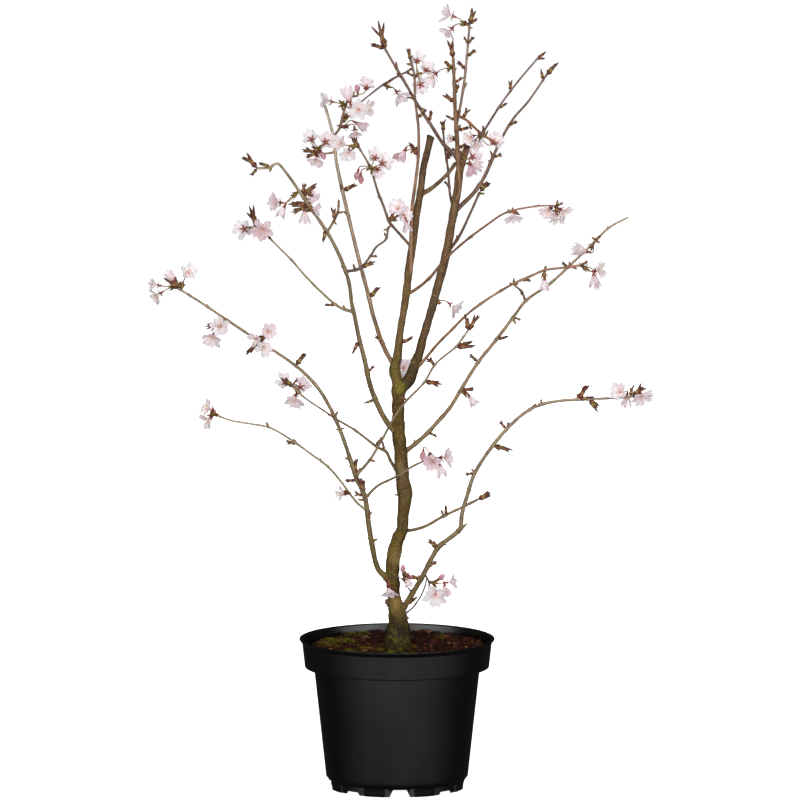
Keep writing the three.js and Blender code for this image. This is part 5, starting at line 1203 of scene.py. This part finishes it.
FINE_STEP = 2.2  # distance between the rings of a limb
KNUCKLE = 0.42  # how far the skin of a thin limb swells at a node
KNOBBLE, KNOBBLE_MOST = 0.06, 0.5  # depth of the skin's relief: its share of the radius, and the most
YOUNG_RADIUS, AGEING = 1.4, 3.0  # bark is young up to this radius, and old where it is this much more
FLARED_BELOW = 5  # limbs thinner than this flare where they leave their parent

# The colour of each limb's skin where it starts and at its tip.
SKINS = {
    "trunk": [(92, 66, 24), (95, 71, 30)], "leftLeader": [(112, 88, 44), (94, 70, 50)],
    "rightLeader": [(66, 50, 26), (134, 102, 72)], "A1": [(140, 106, 78), (184, 168, 148)],
    "A1left": [(150, 122, 98)] * 2, "A1up": [(152, 124, 100)] * 2, "A2": [(122, 102, 62), (156, 138, 112)],
    "A2left": [(146, 128, 100), (160, 142, 118)], "A2right": [(98, 82, 74), (124, 104, 90)],
    "A2spur": [(132, 112, 82)] * 2, "A3": [(112, 94, 46), (154, 136, 110)], "A3front": [(122, 102, 70)] * 2,
    "A4": [(108, 86, 56), (162, 140, 116)], "A5": [(130, 108, 76), (156, 134, 110)],
    "A6": [(146, 136, 100), (166, 148, 124)], "B1": [(110, 90, 48), (172, 152, 130)],
    "B1hook": [(84, 74, 66)] * 2, "B1pin": [(116, 96, 62)] * 2, "baseShoot": [(112, 90, 84)] * 2,
    "crossShoot": [(88, 64, 60)] * 2, "B2": [(120, 98, 74), (148, 124, 98)],
    "B3": [(134, 112, 78), (170, 146, 122)], "B3spur": [(120, 100, 76)] * 2,
    "B4": [(140, 108, 76), (166, 122, 98)], "B5": [(138, 104, 74), (152, 112, 92)],
    "link": [(122, 98, 72)] * 2, "frontShoot": [(178, 132, 100), (112, 84, 72)],
    "Ti": [(122, 96, 80), (146, 118, 98)], "Ta": [(142, 104, 72), (150, 116, 88)],
    "Tb": [(146, 118, 102), (152, 126, 110)], "Tc": [(146, 92, 58), (140, 100, 76)],
    "Tc2": [(126, 100, 90), (142, 122, 112)], "Td": [(124, 96, 78), (132, 108, 98)],
    "Td2": [(112, 80, 66), (120, 92, 80)], "Te": [(118, 90, 76), (126, 104, 96)], "Tg": [(124, 104, 100)] * 2,
    "Tgr": [(124, 104, 96)] * 2, "Tf": [(116, 90, 80)] * 2,
}

# Spots of old wood with a colour of their own: across, up, depth, reach, colour.
PATCHES = [
    (3, 398, -7, 6, (132, 122, 40)), (-5, 419, -7, 7, (104, 98, 34)), (7, 380, -5, 6, (104, 96, 32)),
    (-3, 184, -8, 8, (146, 118, 64)), (0, 231, -7, 9, (134, 108, 60)), (9, 293, -8, 8, (98, 80, 48)),
    (4, 316, -7, 12, (130, 106, 74)), (-4, 212, -7, 7, (104, 92, 30)), (36, 478, 6, 14, (92, 74, 54)),
    (3, 232, -7, 5, (150, 124, 80)), (10, 458, -6, 12, (124, 98, 64)), (4, 262, -7, 9, (92, 74, 36)),
]


def in_space(path, depth):
    """A path of the drawing plane in space, its depths spaced evenly along it."""
    path = np.array(path, float)
    length = line_length(path)
    return [place(*corner, behind) for corner, behind in zip(path, along(depth, length / length[-1]))]


def lay_out_lines():
    """The middle line of every limb: each one starts on the line of the limb it grows from."""
    trunk = in_space([corner[:2] for corner in TRUNK], TRUNK_DEPTH)
    lines = {"trunk": smooth_line(trunk, FINE_STEP)}
    for name, (parent, depth, _, path) in LIMBS.items():
        root = lines[parent]
        start = root[nearest_index(root, *path[0])]
        points = in_space(path, [start[1], *depth])
        lines[name] = smooth_line([start, *points[1:]], FINE_STEP)
    return lines


LINES = lay_out_lines()


def node_places(name):
    """How far along a limb its buds, sprays and side shoots grow, where its skin swells."""
    line = LINES[name]
    spots = [spur[0] for spur in SPURS.get(name, [])]
    spots += [at for limb, at, _ in BLOSSOM if limb == name]
    spots += [path[0] for parent, _, _, path in LIMBS.values() if parent == name]
    length = line_length(line)
    return [length[nearest_index(line, *spot)] for spot in spots]


def swollen(name, radii, rng):
    """The radii with a knuckle at each node of a thin limb, and faint rings between."""
    length = line_length(LINES[name])
    swelling = np.zeros(len(length))
    for spot in node_places(name):
        width = 1.5 + radii[np.argmin(abs(length - spot))] * 0.6
        swelling = np.maximum(swelling, np.exp(-((length - spot) / width) ** 2))
    faint = 0.035 * np.sin(length / rng.uniform(2.2, 3.2) + rng.uniform(0, 6))
    return radii * (1 + faint) + swelling * KNUCKLE * np.clip((6 - radii) / 4.8, 0, 1)


# Limbs that have patches of another colour.
OLD_WOOD = ("trunk", "leftLeader", "rightLeader")


def skin_of(name, corners, share):
    """The skin colour at each corner of a limb."""
    first, last = (np.array(srgb(*colour)[:3]) for colour in SKINS[name])
    colours = first + (last - first) * share[:, None]
    for across, up, depth, reach, colour in PATCHES if name in OLD_WOOD else []:
        away = norm(corners - place(across, up, depth), axis=1)
        near = np.exp(-((away / reach) ** 2))[:, None]
        colours = colours + (np.array(srgb(*colour)[:3]) - colours) * near
    return colours


# Green on the wood: moss covers the foot and algae thins out above it.
FOOT_MOSS_TOP, FOOT_MOSS_FADE, ALGAE_FADE = 180, 18, 440


def limb(wood, name, radii, sides, seed):
    """One limb with its knuckles and a knobbly skin, flared where it leaves its parent."""
    line = LINES[name]
    rng = np.random.RandomState(seed)
    length = line_length(line)
    radii = swollen(name, radii, rng)
    if radii[0] < FLARED_BELOW:
        radii = radii * (1 + 0.4 * np.exp(-length / (2 * radii[0])))
    radii[-1] *= 0.6
    corners, turns = tube(line, radii, sides)
    middles = np.repeat(line, sides, axis=0)
    girth = np.repeat(radii, sides)
    depth = np.minimum(KNOBBLE * girth, KNOBBLE_MOST)
    rough = 0.6 * relief(corners * [1, 1, 0.5], 7, seed + 1) + 0.5 * relief(corners, 2.8, seed + 2)
    corners = middles + (corners - middles) * (1 + (depth * rough / np.maximum(girth, 0.1)))[:, None]
    run = np.repeat(length, sides)
    grain = np.column_stack([girth * np.cos(turns * TURN), girth * np.sin(turns * TURN), run])
    age = np.clip((girth - YOUNG_RADIUS) / AGEING, 0, 1)
    above = corners[:, 2] - FOOT_MOSS_TOP
    green = np.clip(age, 0.1, 1) * np.clip(0.75 - above / ALGAE_FADE, 0.1, 0.8)
    foot = np.clip(-above / FOOT_MOSS_FADE, 0, 1)
    wood.add(corners, loft_faces(len(line), sides), BARK, skin=skin_of(name, corners, run / run[-1]),
             grain=grain + 37 * seed, age=age, green=green * (1 - foot), foot=foot)


def sides_for(radius):
    """How many corners a limb has round it."""
    return 28 if radius > 5 else 16 if radius > 2.4 else 10


# The sawn ends of the leaders: radius, and which way each cut leans. Then the cut's rings, as shares
# of the radius and lifts along the wood.
CUT_TOPS = {"leftLeader": (3.9, (0.25, -0.2, 0)), "rightLeader": (3.6, (0.1, -0.3, 0))}
CUT_RINGS = ((0.9, -2.5), (1.06, -0.6), (1.02, 0.5), (0.8, 0.75), (0.35, 0.45), (0.1, 0.5))


def cut_top(wood, name, radius, tilt):
    """The sawn end of a leader: a thin cap, a little wider than the wood below, with a dark rim."""
    line = LINES[name]
    normal = unit(unit(line[-1] - line[-4]) + tilt)
    first, second = axes_across(normal)
    turn = circle(20)
    out = np.cos(turn)[:, None] * first + np.sin(turn)[:, None] * second
    uneven = (1 + 0.08 * np.sin(3 * turn + 1) + 0.05 * np.sin(7 * turn))[:, None]
    rings = [line[-1] + out * radius * share * uneven + normal * lift for share, lift in CUT_RINGS]
    wood.add(np.vstack(rings), loft_faces(len(rings), len(turn)), CUT)


def bud_scale(wood, root, way, side, length, width, open_by, tone, low, high):
    """A pointed scale that hugs the bud and stands off it at the tip, coloured from low to high."""
    rows = 6
    t, s = blade_grid(rows, 3)
    half = width * np.sin(math.pi * np.minimum(0.25 + 0.75 * t, 1)) ** 0.8 * 0.5
    out = width * (0.22 + open_by * t**2) - 0.35 * width * s * s * (1 - t)
    upper = root + np.outer(length * t, way) + np.outer(out, side) + np.outer(half * s, np.cross(way, side))
    wood.add_blade(upper, upper - side * 0.22, rows, SCALE, low + (high - low) * t, s * 0.2, tone=tone)


# A leaf bud's girth along it: neck, knob of old scales, waist, and the body of the bud.
BUD_SHAPE = [
    (0, 0.36), (0.1, 0.4), (0.2, 0.8), (0.31, 1.0), (0.42, 0.92), (0.51, 0.66), (0.6, 0.78), (0.74, 0.76),
    (0.87, 0.52), (1, 0.1),
]
PRONG = [(0, 0.6), (0.25, 0.95), (0.5, 1.0), (0.75, 0.7), (0.92, 0.3), (1, 0.04)]
SHORT_BUD = [(0, 0.6), (0.15, 0.75), (0.35, 1.0), (0.6, 0.9), (0.82, 0.5), (1, 0.06)]


def bud_body(wood, start, tip, radius, shape, tone, bow=0.0, low=0.0):
    """The body of a leaf bud, along a slightly bowed line."""
    sides = 9
    t, size = np.array(shape).T
    bend = square_to(unit(tip - start)) * bow * norm(tip - start)
    line = start + np.outer(t, tip - start) + np.outer(4 * t * (1 - t), bend)
    across = np.tile(np.arange(sides) / sides, len(line))
    wood.add_tube(line, radius * size, sides, BACKWARD, SCALE, low + (1 - low) * t, across=across, tone=tone)


PLAIN_LENGTH = 6.5  # a leaf bud shorter than this has neither neck nor prongs


def leaf_bud(wood, surface, tips, rng):
    """The leaf bud or buds of one spur, from the limb's skin outward. A long one has a neck, a knob of
    old scales and a body that parts into pointed leaf tips."""
    middle = sum(tips) / len(tips)
    way = unit(middle - surface)
    length = norm(middle - surface)
    tone = rng.uniform()
    if length < PLAIN_LENGTH:
        for tip in tips:
            radius = min(1.35, max(0.8, norm(tip - surface) * 0.27))
            start = surface - unit(tip - surface) * 0.6
            bud_body(wood, start, tip, radius, SHORT_BUD, rng.uniform(), low=0.16)
        return
    radius = min(2.5, max(1.45, length * 0.18)) * (1.2 if len(tips) > 1 else 1)
    end = surface + way * length * 0.72
    bud_body(wood, surface - way * 0.6, end, radius, BUD_SHAPE, tone, rng.normal(0, 0.03))
    first, second = axes_across(way)
    fork = surface + way * length * 0.4
    ends = list(tips)
    turn = rng.uniform(0, TURN)
    for angle in (turn, turn + rng.uniform(2.2, 3.6))[:2 if len(tips) == 1 else 1]:
        side = around(first, second, angle)
        ends.append(surface + way * length * rng.uniform(0.78, 0.98)
                    + side * length * rng.uniform(0.14, 0.28))
    for end in ends:
        bud_body(wood, fork, end, radius * rng.uniform(0.42, 0.54), PRONG, held(tone + rng.normal(0, 0.3)),
                 rng.normal(0, 0.06), low=0.5)
    turn = rng.uniform(0, TURN)
    for scale in range(4):
        root = surface + way * length * (0.13 + 0.05 * scale)
        bud_scale(wood, root, way, around(first, second, turn + scale * 2.1), length * rng.uniform(0.2, 0.3),
                  radius * 1.5, rng.uniform(0.1, 0.4), tone, 0.16, 0.4)


def trunk_radius(z):
    """The trunk's radius at a height, without its knuckles."""
    heights = [place(across, up, 0)[2] for across, up, _ in TRUNK]
    return np.interp(z, heights, [radius for _, _, radius in TRUNK])


def skin_point(name, start, toward):
    """Where a line from a limb's middle leaves its skin."""
    line = LINES[name]
    share = np.argmin(norm(line - start, axis=1)) / (len(line) - 1)
    radius = trunk_radius(start[2]) if name == "trunk" else along(LIMBS[name][2], share)
    return start + unit(toward - start) * min(radius, 0.8 * norm(toward - start))


def leaf_buds():
    """Every leaf bud of every spur. Each takes the same draws as its CAD solid."""
    wood = Piece("leaf_buds", [SCALE])
    random = Draws(SEED["leaf_buds"])
    rng = np.random.RandomState(LOOK_SEED["buds"])
    for name, spurs in SPURS.items():
        for root, *tips in spurs:
            line = LINES[name]
            start = line[nearest_index(line, *root)]
            ends = []
            for i, tip in enumerate(tips):
                length = math.hypot(tip[0] - root[0], tip[1] - root[1])
                lean = random() - 0.5 + (BUD["backward"] if i % 2 else BUD["forward"])
                ends.append(place(*tip, start[1] + lean * length * BUD["spread"]))
            leaf_bud(wood, skin_point(name, start, sum(ends) / len(ends)), ends, rng)
    for foot, tip in FRONT_BUDS:
        bud_body(wood, place(*foot), place(*tip), 1.6, SHORT_BUD, rng.uniform(0, 0.4), low=0.16)
    wood.finish("bark")


# Small knobs on the trunk that are no leaf buds: a stump's foot and end, and its radius.
KNOBS = [
    ((7, 171, -3), (12.2, 169, -5), 1.5), ((-6, 186, -3), (-12, 184, -5), 2.6),
    ((-5, 182, -3), (-11.6, 188, -5), 2.2), ((1, 386, -6), (6, 391, -10.5), 2.6),
]
# A knob's girth along it, and its colour.
KNOB_SHAPE = [1.3, 1.15, 1, 0.95, 1.0, 0.8, 0.3]
KNOB_SKIN = (96, 76, 46)
# Buds at the front of the trunk: their foot and tip.
FRONT_BUDS = [((3, 388, -7), (8.5, 395, -12)), ((4, 388, -8), (9.6, 389, -13)), ((3, 387, -8), (5, 384, -13))]


def tree_wood():
    """The bark of every limb, the knobs on the trunk and the sawn tops."""
    wood = Piece("tree_bark", [BARK, CUT])
    limb(wood, "trunk", trunk_radius(LINES["trunk"][:, 2]), 56, LOOK_SEED["trunk"])
    for i, (name, (_, _, radius, _)) in enumerate(LIMBS.items()):
        radii = along(radius, np.linspace(0, 1, len(LINES[name])))
        limb(wood, name, radii, sides_for(radius[0]), LOOK_SEED["limbs"] + 3 * i)
    for i, (foot, end, radius) in enumerate(KNOBS):
        line = np.linspace(place(*foot), place(*end), len(KNOB_SHAPE))
        corners, _ = tube(line, radius * np.array(KNOB_SHAPE), 12)
        corners += relief(corners, 3, LOOK_SEED["knobs"] + i)[:, None] * 0.12
        wood.add(corners, loft_faces(len(line), 12), BARK, skin=srgb(*KNOB_SKIN)[:3], grain=corners, age=0.6,
                 green=0.4)
    for name, (radius, tilt) in CUT_TOPS.items():
        cut_top(wood, name, radius, np.array(tilt))
    wood.finish("bark", "tree_wood")


# ---- the blossom ----

# Shape of each form, as shares of the flower's radius: where the petals and the calyx sit along the
# axis, and [reach, height] of the petals' tips. Then its stamens, and how far they and the sepals spread.
FORMS = {
    OPEN: dict(heart=-0.42, seat=-0.6, tip=(1.05, 0.1), stamens=14, stamen_spread=0.75, sepal_spread=0.85),
    HALF: dict(heart=-0.85, seat=-1.05, tip=(0.9, 0.6), stamens=7, stamen_spread=0.35, sepal_spread=0.45),
    CLOSED: dict(seat=-1.2),
}
ROWS, COLUMNS = 9, 7
PETAL_THICKNESS, SEPAL_THICKNESS = 0.14, 0.28
INNER_MISSING = 0.3  # the share of inner petals that are left out
YOUNG_PINK = 0.16  # how much pinker than an open flower a half-open one or a bud is
BUD_ENDS = (-1.15, 1.25)  # where a closed bud starts and ends along its axis, as shares of its radius
# Radii along a filament, an anther (as shares of its size) and the stub that a spray grows from.
FILAMENT = np.array([0.14, 0.1, 0.08])
ANTHER = np.array([0.25, 0.7, 0.7, 0.25])
STUB = np.array([1.3, 1.7, 1.6, 1.3, 0.8])
# A petal's breadth along it: a narrow claw, the widest place beyond the middle, and a round end.
PETAL_OUTLINE = [(0, 0.12, 0.3, 0.5, 0.65, 0.8, 0.9, 1), (0.14, 0.3, 0.66, 0.95, 1, 0.9, 0.72, 0.36)]


def facing(yaw, pitch):
    """Where a flower looks: yaw 0 is to the front and 90 to the right, and pitch is upward."""
    turn, rise = math.radians(yaw), math.radians(pitch)
    return np.array([math.sin(turn) * math.cos(rise), -math.cos(turn) * math.cos(rise), math.sin(rise)])


def petal(bloom, middle, axes, root, tip, width, cup, shape, tone):
    """One petal: a narrow claw, round shoulders and a notched tip, curved from root to tip, each
    [reach, height] in millimetres from the flower's centre. A full one bellies out as in a bell."""
    first, second, axis = axes
    ray = around(first, second, middle)
    aside = -math.sin(middle) * first + math.cos(middle) * second
    t, s = blade_grid(ROWS, COLUMNS)
    full = shape["full"]
    half = width / 2 * (full / 2 + (1 - full / 2) * np.interp(t, *PETAL_OUTLINE))
    end = 1 - shape["notch"] * np.exp(-(s / 0.3) ** 2) - 0.13 * s**4
    span = t * (1 + (end - 1) * t**2)
    reach = root[0] + (tip[0] - root[0]) * span ** (1 - 0.45 * full)
    rise = span ** (1 + 0.3 * full - shape["bulge"])
    curl = shape["curl"] * np.clip(t - 0.6, 0, 1) ** 2
    ripple = shape["ripple"] * np.sin(5 * t + shape["phase"] + 2.2 * s) * s * t
    trough = cup * s**2 * np.sin(np.pi * np.minimum(t + 0.1, 1)) + curl + ripple
    height = root[1] + (tip[1] - root[1]) * rise + trough * width
    twist = shape["twist"] * t
    upper = (bloom["centre"] + np.outer(reach, ray) + np.outer(half * s * np.cos(twist), aside)
             + np.outer(height + half * s * np.sin(twist), axis))
    lower = second_skin(upper, ROWS, COLUMNS, -PETAL_THICKNESS)
    bloom["piece"].add_blade(upper, lower, ROWS, PETAL, t, s, tone=tone)


def petals(bloom, axes, random, rng):
    """The outer petals, which follow the CAD solid, and smaller inner ones between them."""
    form, radius = FORMS[bloom["form"]], bloom["radius"]
    half_open = bloom["form"] == HALF
    turn = random() * TURN
    reach, rise = form["tip"]
    for index in range(PETALS):
        lift = (random() - 0.5) * UNEVEN_LIFT + 0.32 * (1 - abs(axes[2][1]))
        stretch = 1 - random() * UNEVEN_REACH
        middle = turn + index / PETALS * TURN + rng.normal(0, 0.06)
        outer = (middle, lift, stretch, rng.uniform(0.58, 0.7), 0.0)
        between = middle + math.pi / PETALS + rng.normal(0, 0.12)
        inner = (between, rng.uniform(0.08, 0.34), rng.uniform(0.66, 0.94), rng.uniform(0.42, 0.56), 1.0)
        for angle, raised, long, broad, layer in (outer, inner):
            if layer and rng.uniform() < INNER_MISSING:
                continue
            shape = dict(
                notch=rng.uniform(0.02, 0.12), bulge=rng.uniform(0.1, 0.35), curl=rng.uniform(-0.5, 0.35),
                ripple=rng.uniform(0.0, 0.05), phase=rng.uniform(0, 6), twist=rng.normal(0, 0.2),
                full=0.8 if half_open else 0)
            width = radius * broad * (0.9 if half_open else 1)
            root = (radius * 0.06, radius * (form["heart"] + 0.03 * layer))
            tip = (radius * reach * long, radius * (rise + raised))
            tone = bloom["tone"] + rng.normal(0, 0.05) + 0.04 * layer
            petal(bloom, angle, axes, root, tip, width, rng.uniform(0.02, 0.2), shape, held(tone))


def stamens(bloom, axes, rng):
    """Thin filaments in a loose bunch, each with an anther."""
    first, second, axis = axes
    radius = bloom["radius"]
    form = FORMS[bloom["form"]]
    foot = bloom["centre"] + axis * radius * form["heart"]
    for _ in range(form["stamens"]):
        angle = rng.uniform(0, TURN)
        lean = form["stamen_spread"] * math.sqrt(rng.uniform(0.02, 1))
        out = around(first, second, angle)
        way = unit(axis + out * lean)
        length = radius * rng.uniform(0.42, 0.62)
        t = np.array([0, 0.5, 1.0])[:, None]
        line = foot + way * length * t + out * 0.12 * length * (t * (1 - t))
        bloom["piece"].add_tube(line, FILAMENT, 3, square_to(way), STAMEN, [0, 0.4, 0.78])
        size = rng.uniform(0.26, 0.4)
        tip = foot + way * (length + size * 0.6)
        line = tip + unit(way + rng.normal(0, 0.5, 3)) * size * np.array([-1.1, -0.5, 0.5, 1.1])[:, None]
        bloom["piece"].add_tube(line, size * ANTHER, 5, square_to(way), STAMEN, rng.uniform(0.88, 1))


def sepals(bloom, axes, turn, rng, spread, length, broad=0.82):
    """The calyx star: five pointed sepals under the petals."""
    first, second, axis = axes
    rows, columns = 5, 3
    t, s = blade_grid(rows, columns)
    half = broad * (1 - t) ** 0.75 * (0.8 + 0.5 * np.sin(math.pi * t)) + 0.05
    for index in range(5):
        out = around(first, second, turn + (index + 0.5) / 5 * TURN)
        own = length * rng.uniform(0.85, 1.15)
        reach = 0.9 + own * spread * t
        lift = own * (1 - spread) * t + own * rng.uniform(-0.1, 0.3) * t * t - 0.25 * (1 - s * s)
        upper = (bloom["seat"] + np.outer(reach, out) - np.outer(half * s, np.cross(axis, out))
                 + np.outer(lift, axis))
        lower = second_skin(upper, rows, columns, SEPAL_THICKNESS)
        bloom["piece"].add_blade(upper, lower, rows, CALYX, 0.8 + 0.2 * t, tone=bloom["stalk_tone"])


def stalk(bloom, axis, hub):
    """The thin stalk from the spur, which swells into the calyx tube."""
    seat = bloom["seat"]
    start = seat - axis * (STALK["calyx_length"] + 1.2)
    bend = start - axis * STALK["bend"] * norm(hub - start)
    t = np.linspace(0, 1, 9)[:, None]
    line = (1 - t) ** 2 * hub + 2 * t * (1 - t) * bend + t**2 * start
    line = np.vstack([line, [seat - axis * lift for lift in (3.2, 2.2, 1.0, 0.0)]])
    radii = np.array([0.75, *[STALK["radius"] * 1.15] * 7, 0.62, 1.0, 1.3, 1.15, 1.25])
    rise = [*np.linspace(0, 0.6, 9), 0.7, 0.8, 0.85, 0.9]
    bloom["piece"].add_tube(line, radii, 8, square_to(axis), CALYX, rise, tone=bloom["stalk_tone"])


def open_flower(bloom, hub, random, rng):
    """An open or half-open flower on its stalk."""
    axis = bloom["axis"]
    first = np.cross(axis, bloom["seat"] - hub)
    first = unit(first) if first @ first > 1e-3 else unit(np.cross(axis, UPWARD))
    axes = (first, np.cross(axis, first), axis)
    petals(bloom, axes, random, rng)
    stamens(bloom, axes, rng)
    spread = FORMS[bloom["form"]]["sepal_spread"]
    sepals(bloom, axes, rng.uniform(0, 1), rng, spread, min(bloom["radius"] * 0.46, 4.8))
    stalk(bloom, axis, hub)


def closed_bud(bloom, hub, rng):
    """A closed flower bud: petals rolled round each other in a red calyx."""
    axis, radius, centre = bloom["axis"], bloom["radius"], bloom["centre"]
    first, second = axes_across(axis)
    turns = circle(16)
    heights = np.linspace(*BUD_ENDS, 11)
    shares = (heights - BUD_ENDS[0]) / (BUD_ENDS[1] - BUD_ENDS[0])
    rings = []
    for height, share in zip(heights, shares):
        size = radius * 0.82 * math.sin(math.pi * min(0.14 + 0.84 * share, 1)) ** 0.8
        wrap = 1 + 0.1 * np.sin(3 * turns + 2.4 * share + bloom["tone"] * 6)
        rings.append(centre + axis * radius * height + (size * wrap * np.cos(turns))[:, None] * first
                     + (size * wrap * np.sin(turns))[:, None] * second)
    bloom["piece"].add(np.vstack(rings), loft_faces(len(rings), len(turns)), PETAL,
                       rise=np.repeat(shares, len(turns)) * 0.55,
                       across=np.tile(np.sin(turns * 3), len(rings)), tone=min(1, bloom["tone"] + 0.6))
    bloom["seat"] = centre - axis * radius * 1.1
    sepals(bloom, (first, second, axis), rng.uniform(0, 1), rng, 0.3, min(radius * 1.5, 5.6), 1.5)
    stalk(bloom, axis, hub)


def spur_scales(piece, root, hub, rng, count):
    """The opened bud scales that a spray grows from. They stand wider at the fullest sprays."""
    way = unit(hub - root) if norm(hub - root) > 0.5 else UPWARD
    first, second = axes_across(way)
    turn, tone = rng.uniform(0, 6), rng.uniform()
    for scale in range(count):
        side = around(first, second, turn + scale * SPIRAL)
        outward = unit(way + side * rng.uniform(0.1, 0.7 if count < 11 else 1.8))
        low = rng.uniform(0.12, 0.4)
        bud_scale(piece, root + way * (0.6 + 0.4 * scale), outward, side, rng.uniform(4.6, 8.4),
                  rng.uniform(2.4, 3.8), rng.uniform(0.1, 0.5), held(tone + rng.normal(0, 0.3)), low,
                  rng.uniform(0.75, 1))


def spray(index, limb_name, at, flowers, random, rng):
    """All flowers of one spur, on a stub with its opened scales."""
    piece = Piece(f"blossom_{index:02d}", [PETAL, CALYX, STAMEN, SCALE])
    line = LINES[limb_name]
    root = line[nearest_index(line, *at)]
    blooms = []
    for across, up, behind, width, yaw, pitch, form in flowers:
        centre, axis, radius = place(across, up, root[1] + behind), facing(yaw, pitch), width / 2
        seat = centre + axis * radius * FORMS[form]["seat"]
        pinker = 0.0 if form == OPEN else YOUNG_PINK
        blooms.append(dict(piece=piece, centre=centre, axis=axis, radius=radius, form=form, seat=seat,
                           tone=min(1, rng.beta(1.2, 7) + pinker), stalk_tone=rng.uniform()))
    middle = sum(bloom["seat"] for bloom in blooms) / len(blooms)
    hub = root + unit(middle - root) * STALK["stub_reach" if len(blooms) > 1 else "lone_reach"]
    for bloom in blooms:
        if bloom["form"] == CLOSED:
            closed_bud(bloom, hub, rng)
        else:
            open_flower(bloom, hub, random, rng)
    stub = np.linspace(0, 1, len(STUB))[:, None] * (hub - root) + root
    piece.add_tube(stub, STUB, 8, square_to(unit(hub - root)), SCALE, 0.2, tone=0.3)
    spur_scales(piece, root, hub, rng, 5 + 2 * len(blooms))
    piece.finish("petal", f"blossom_cluster_{index:02d}")


def blossom():
    """Every spray, each an object of its own. They share one run of draws, as their CAD solids do."""
    random = Draws(SEED["blossom"])
    rng = np.random.RandomState(LOOK_SEED["flowers"])
    for index, (limb_name, at, flowers) in enumerate(BLOSSOM, start=1):
        spray(index, limb_name, at, flowers, random, rng)


# ---- camera, floor and light ----

# A long lens from far away, as the photo shows next to no perspective. Metres, and degrees up.
VIEW = dict(distance=30.0, elevation=8.6, target=(0.003, 0.0, 0.392), lens=1350.0, sensor=36.0, clip=(5, 100))


def camera():
    """The photo's view of the plant."""
    data = bpy.data.cameras.new("camera")
    data.lens, data.sensor_width = VIEW["lens"], VIEW["sensor"]
    data.clip_start, data.clip_end = VIEW["clip"]
    thing = in_scene("camera", data)
    rise = math.radians(VIEW["elevation"])
    x, y, z = VIEW["target"]
    thing.location = (x, y - VIEW["distance"] * math.cos(rise), z + VIEW["distance"] * math.sin(rise))
    thing.rotation_euler = (math.pi / 2 - rise, 0, 0)
    bpy.context.scene.camera = thing


FLOOR_RADIUS, FLOOR_DROP = 14, 0.0005  # in metres, as the lights and the camera are


def floor():
    """A large white floor, a hair below the pot's foot. It lends the plant no light of its own, so the
    pot's sides and the limbs' edges fall as dark as in the photo."""
    finish = Finish("floor", 0.9, 0.1, Emission_Strength=1.0, Emission_Color=(1, 1, 1, 1))
    finish.colour(finish.ramp(finish.noise(900, 2), (0.3, (246, 246, 246)), (0.7, (252, 252, 252))))
    corners = ring(FLOOR_RADIUS, circle(64), -FLOOR_DROP)
    mesh = bpy.data.meshes.new("floor")
    mesh.from_pydata(corners.tolist(), [], [tuple(range(len(corners)))])
    mesh.materials.append(finish.material)
    thing = in_scene("floor", mesh)
    thing.visible_diffuse = thing.visible_glossy = False


CROWN = (0, 0, 0.4)  # what most lights face
# Softboxes, in metres and watts: place, width and height, power, the point that each one faces, and
# what doesn't see it. A wide strip that only shines in the plastic, a soft frontal key, a top light, a
# weak fill from behind, and a low strip that shines in the pot's back.
LIGHTS = {
    "sheen": ((0.0, -1.4, 0.3), (9.0, 0.5), 120, (0, 0, 0.3), ["diffuse"]),
    "key": ((0.1, -2.8, 1.0), (3.6, 1.6), 98, CROWN, ["glossy"]),
    "top": ((0.0, -0.6, 3.0), (2.4, 2.0), 34, CROWN, ["glossy"]),
    "back": ((0.6, 3.0, 1.4), (2.0, 1.6), 32, CROWN, ["glossy", "camera"]),
    "back_sheen": ((0.0, 1.5, 0.06), (0.3, 0.1), 6, (0, 0, 0.06), ["diffuse", "camera"]),
}
ROOM_LIGHT = 0.03  # strength of the white world round them


def lights():
    """The softboxes, in a dim white room."""
    world = bpy.data.worlds.new("studio")
    world.use_nodes = True
    world.node_tree.nodes["Background"].inputs["Color"].default_value = (1, 1, 1, 1)
    world.node_tree.nodes["Background"].inputs["Strength"].default_value = ROOM_LIGHT
    bpy.context.scene.world = world
    bpy.context.scene.view_settings.view_transform = "Standard"
    for name, (spot, size, power, target, unseen_by) in LIGHTS.items():
        data = bpy.data.lights.new(name, "AREA")
        data.shape, data.size, data.size_y = "RECTANGLE", *size
        data.energy = power
        thing = in_scene(name, data)
        thing.location = spot
        x, y, z = np.array(target) - np.array(spot)
        thing.rotation_euler = (math.acos(-z / math.hypot(x, y, z)), 0, math.atan2(y, x) - math.pi / 2)
        for ray in unseen_by:
            setattr(thing, "visible_" + ray, False)


for build in (camera, floor, lights, nursery_pot, compost, soil_fibres, soil_chips, moss_cushions, tree_wood,
              leaf_buds, blossom):
    build()
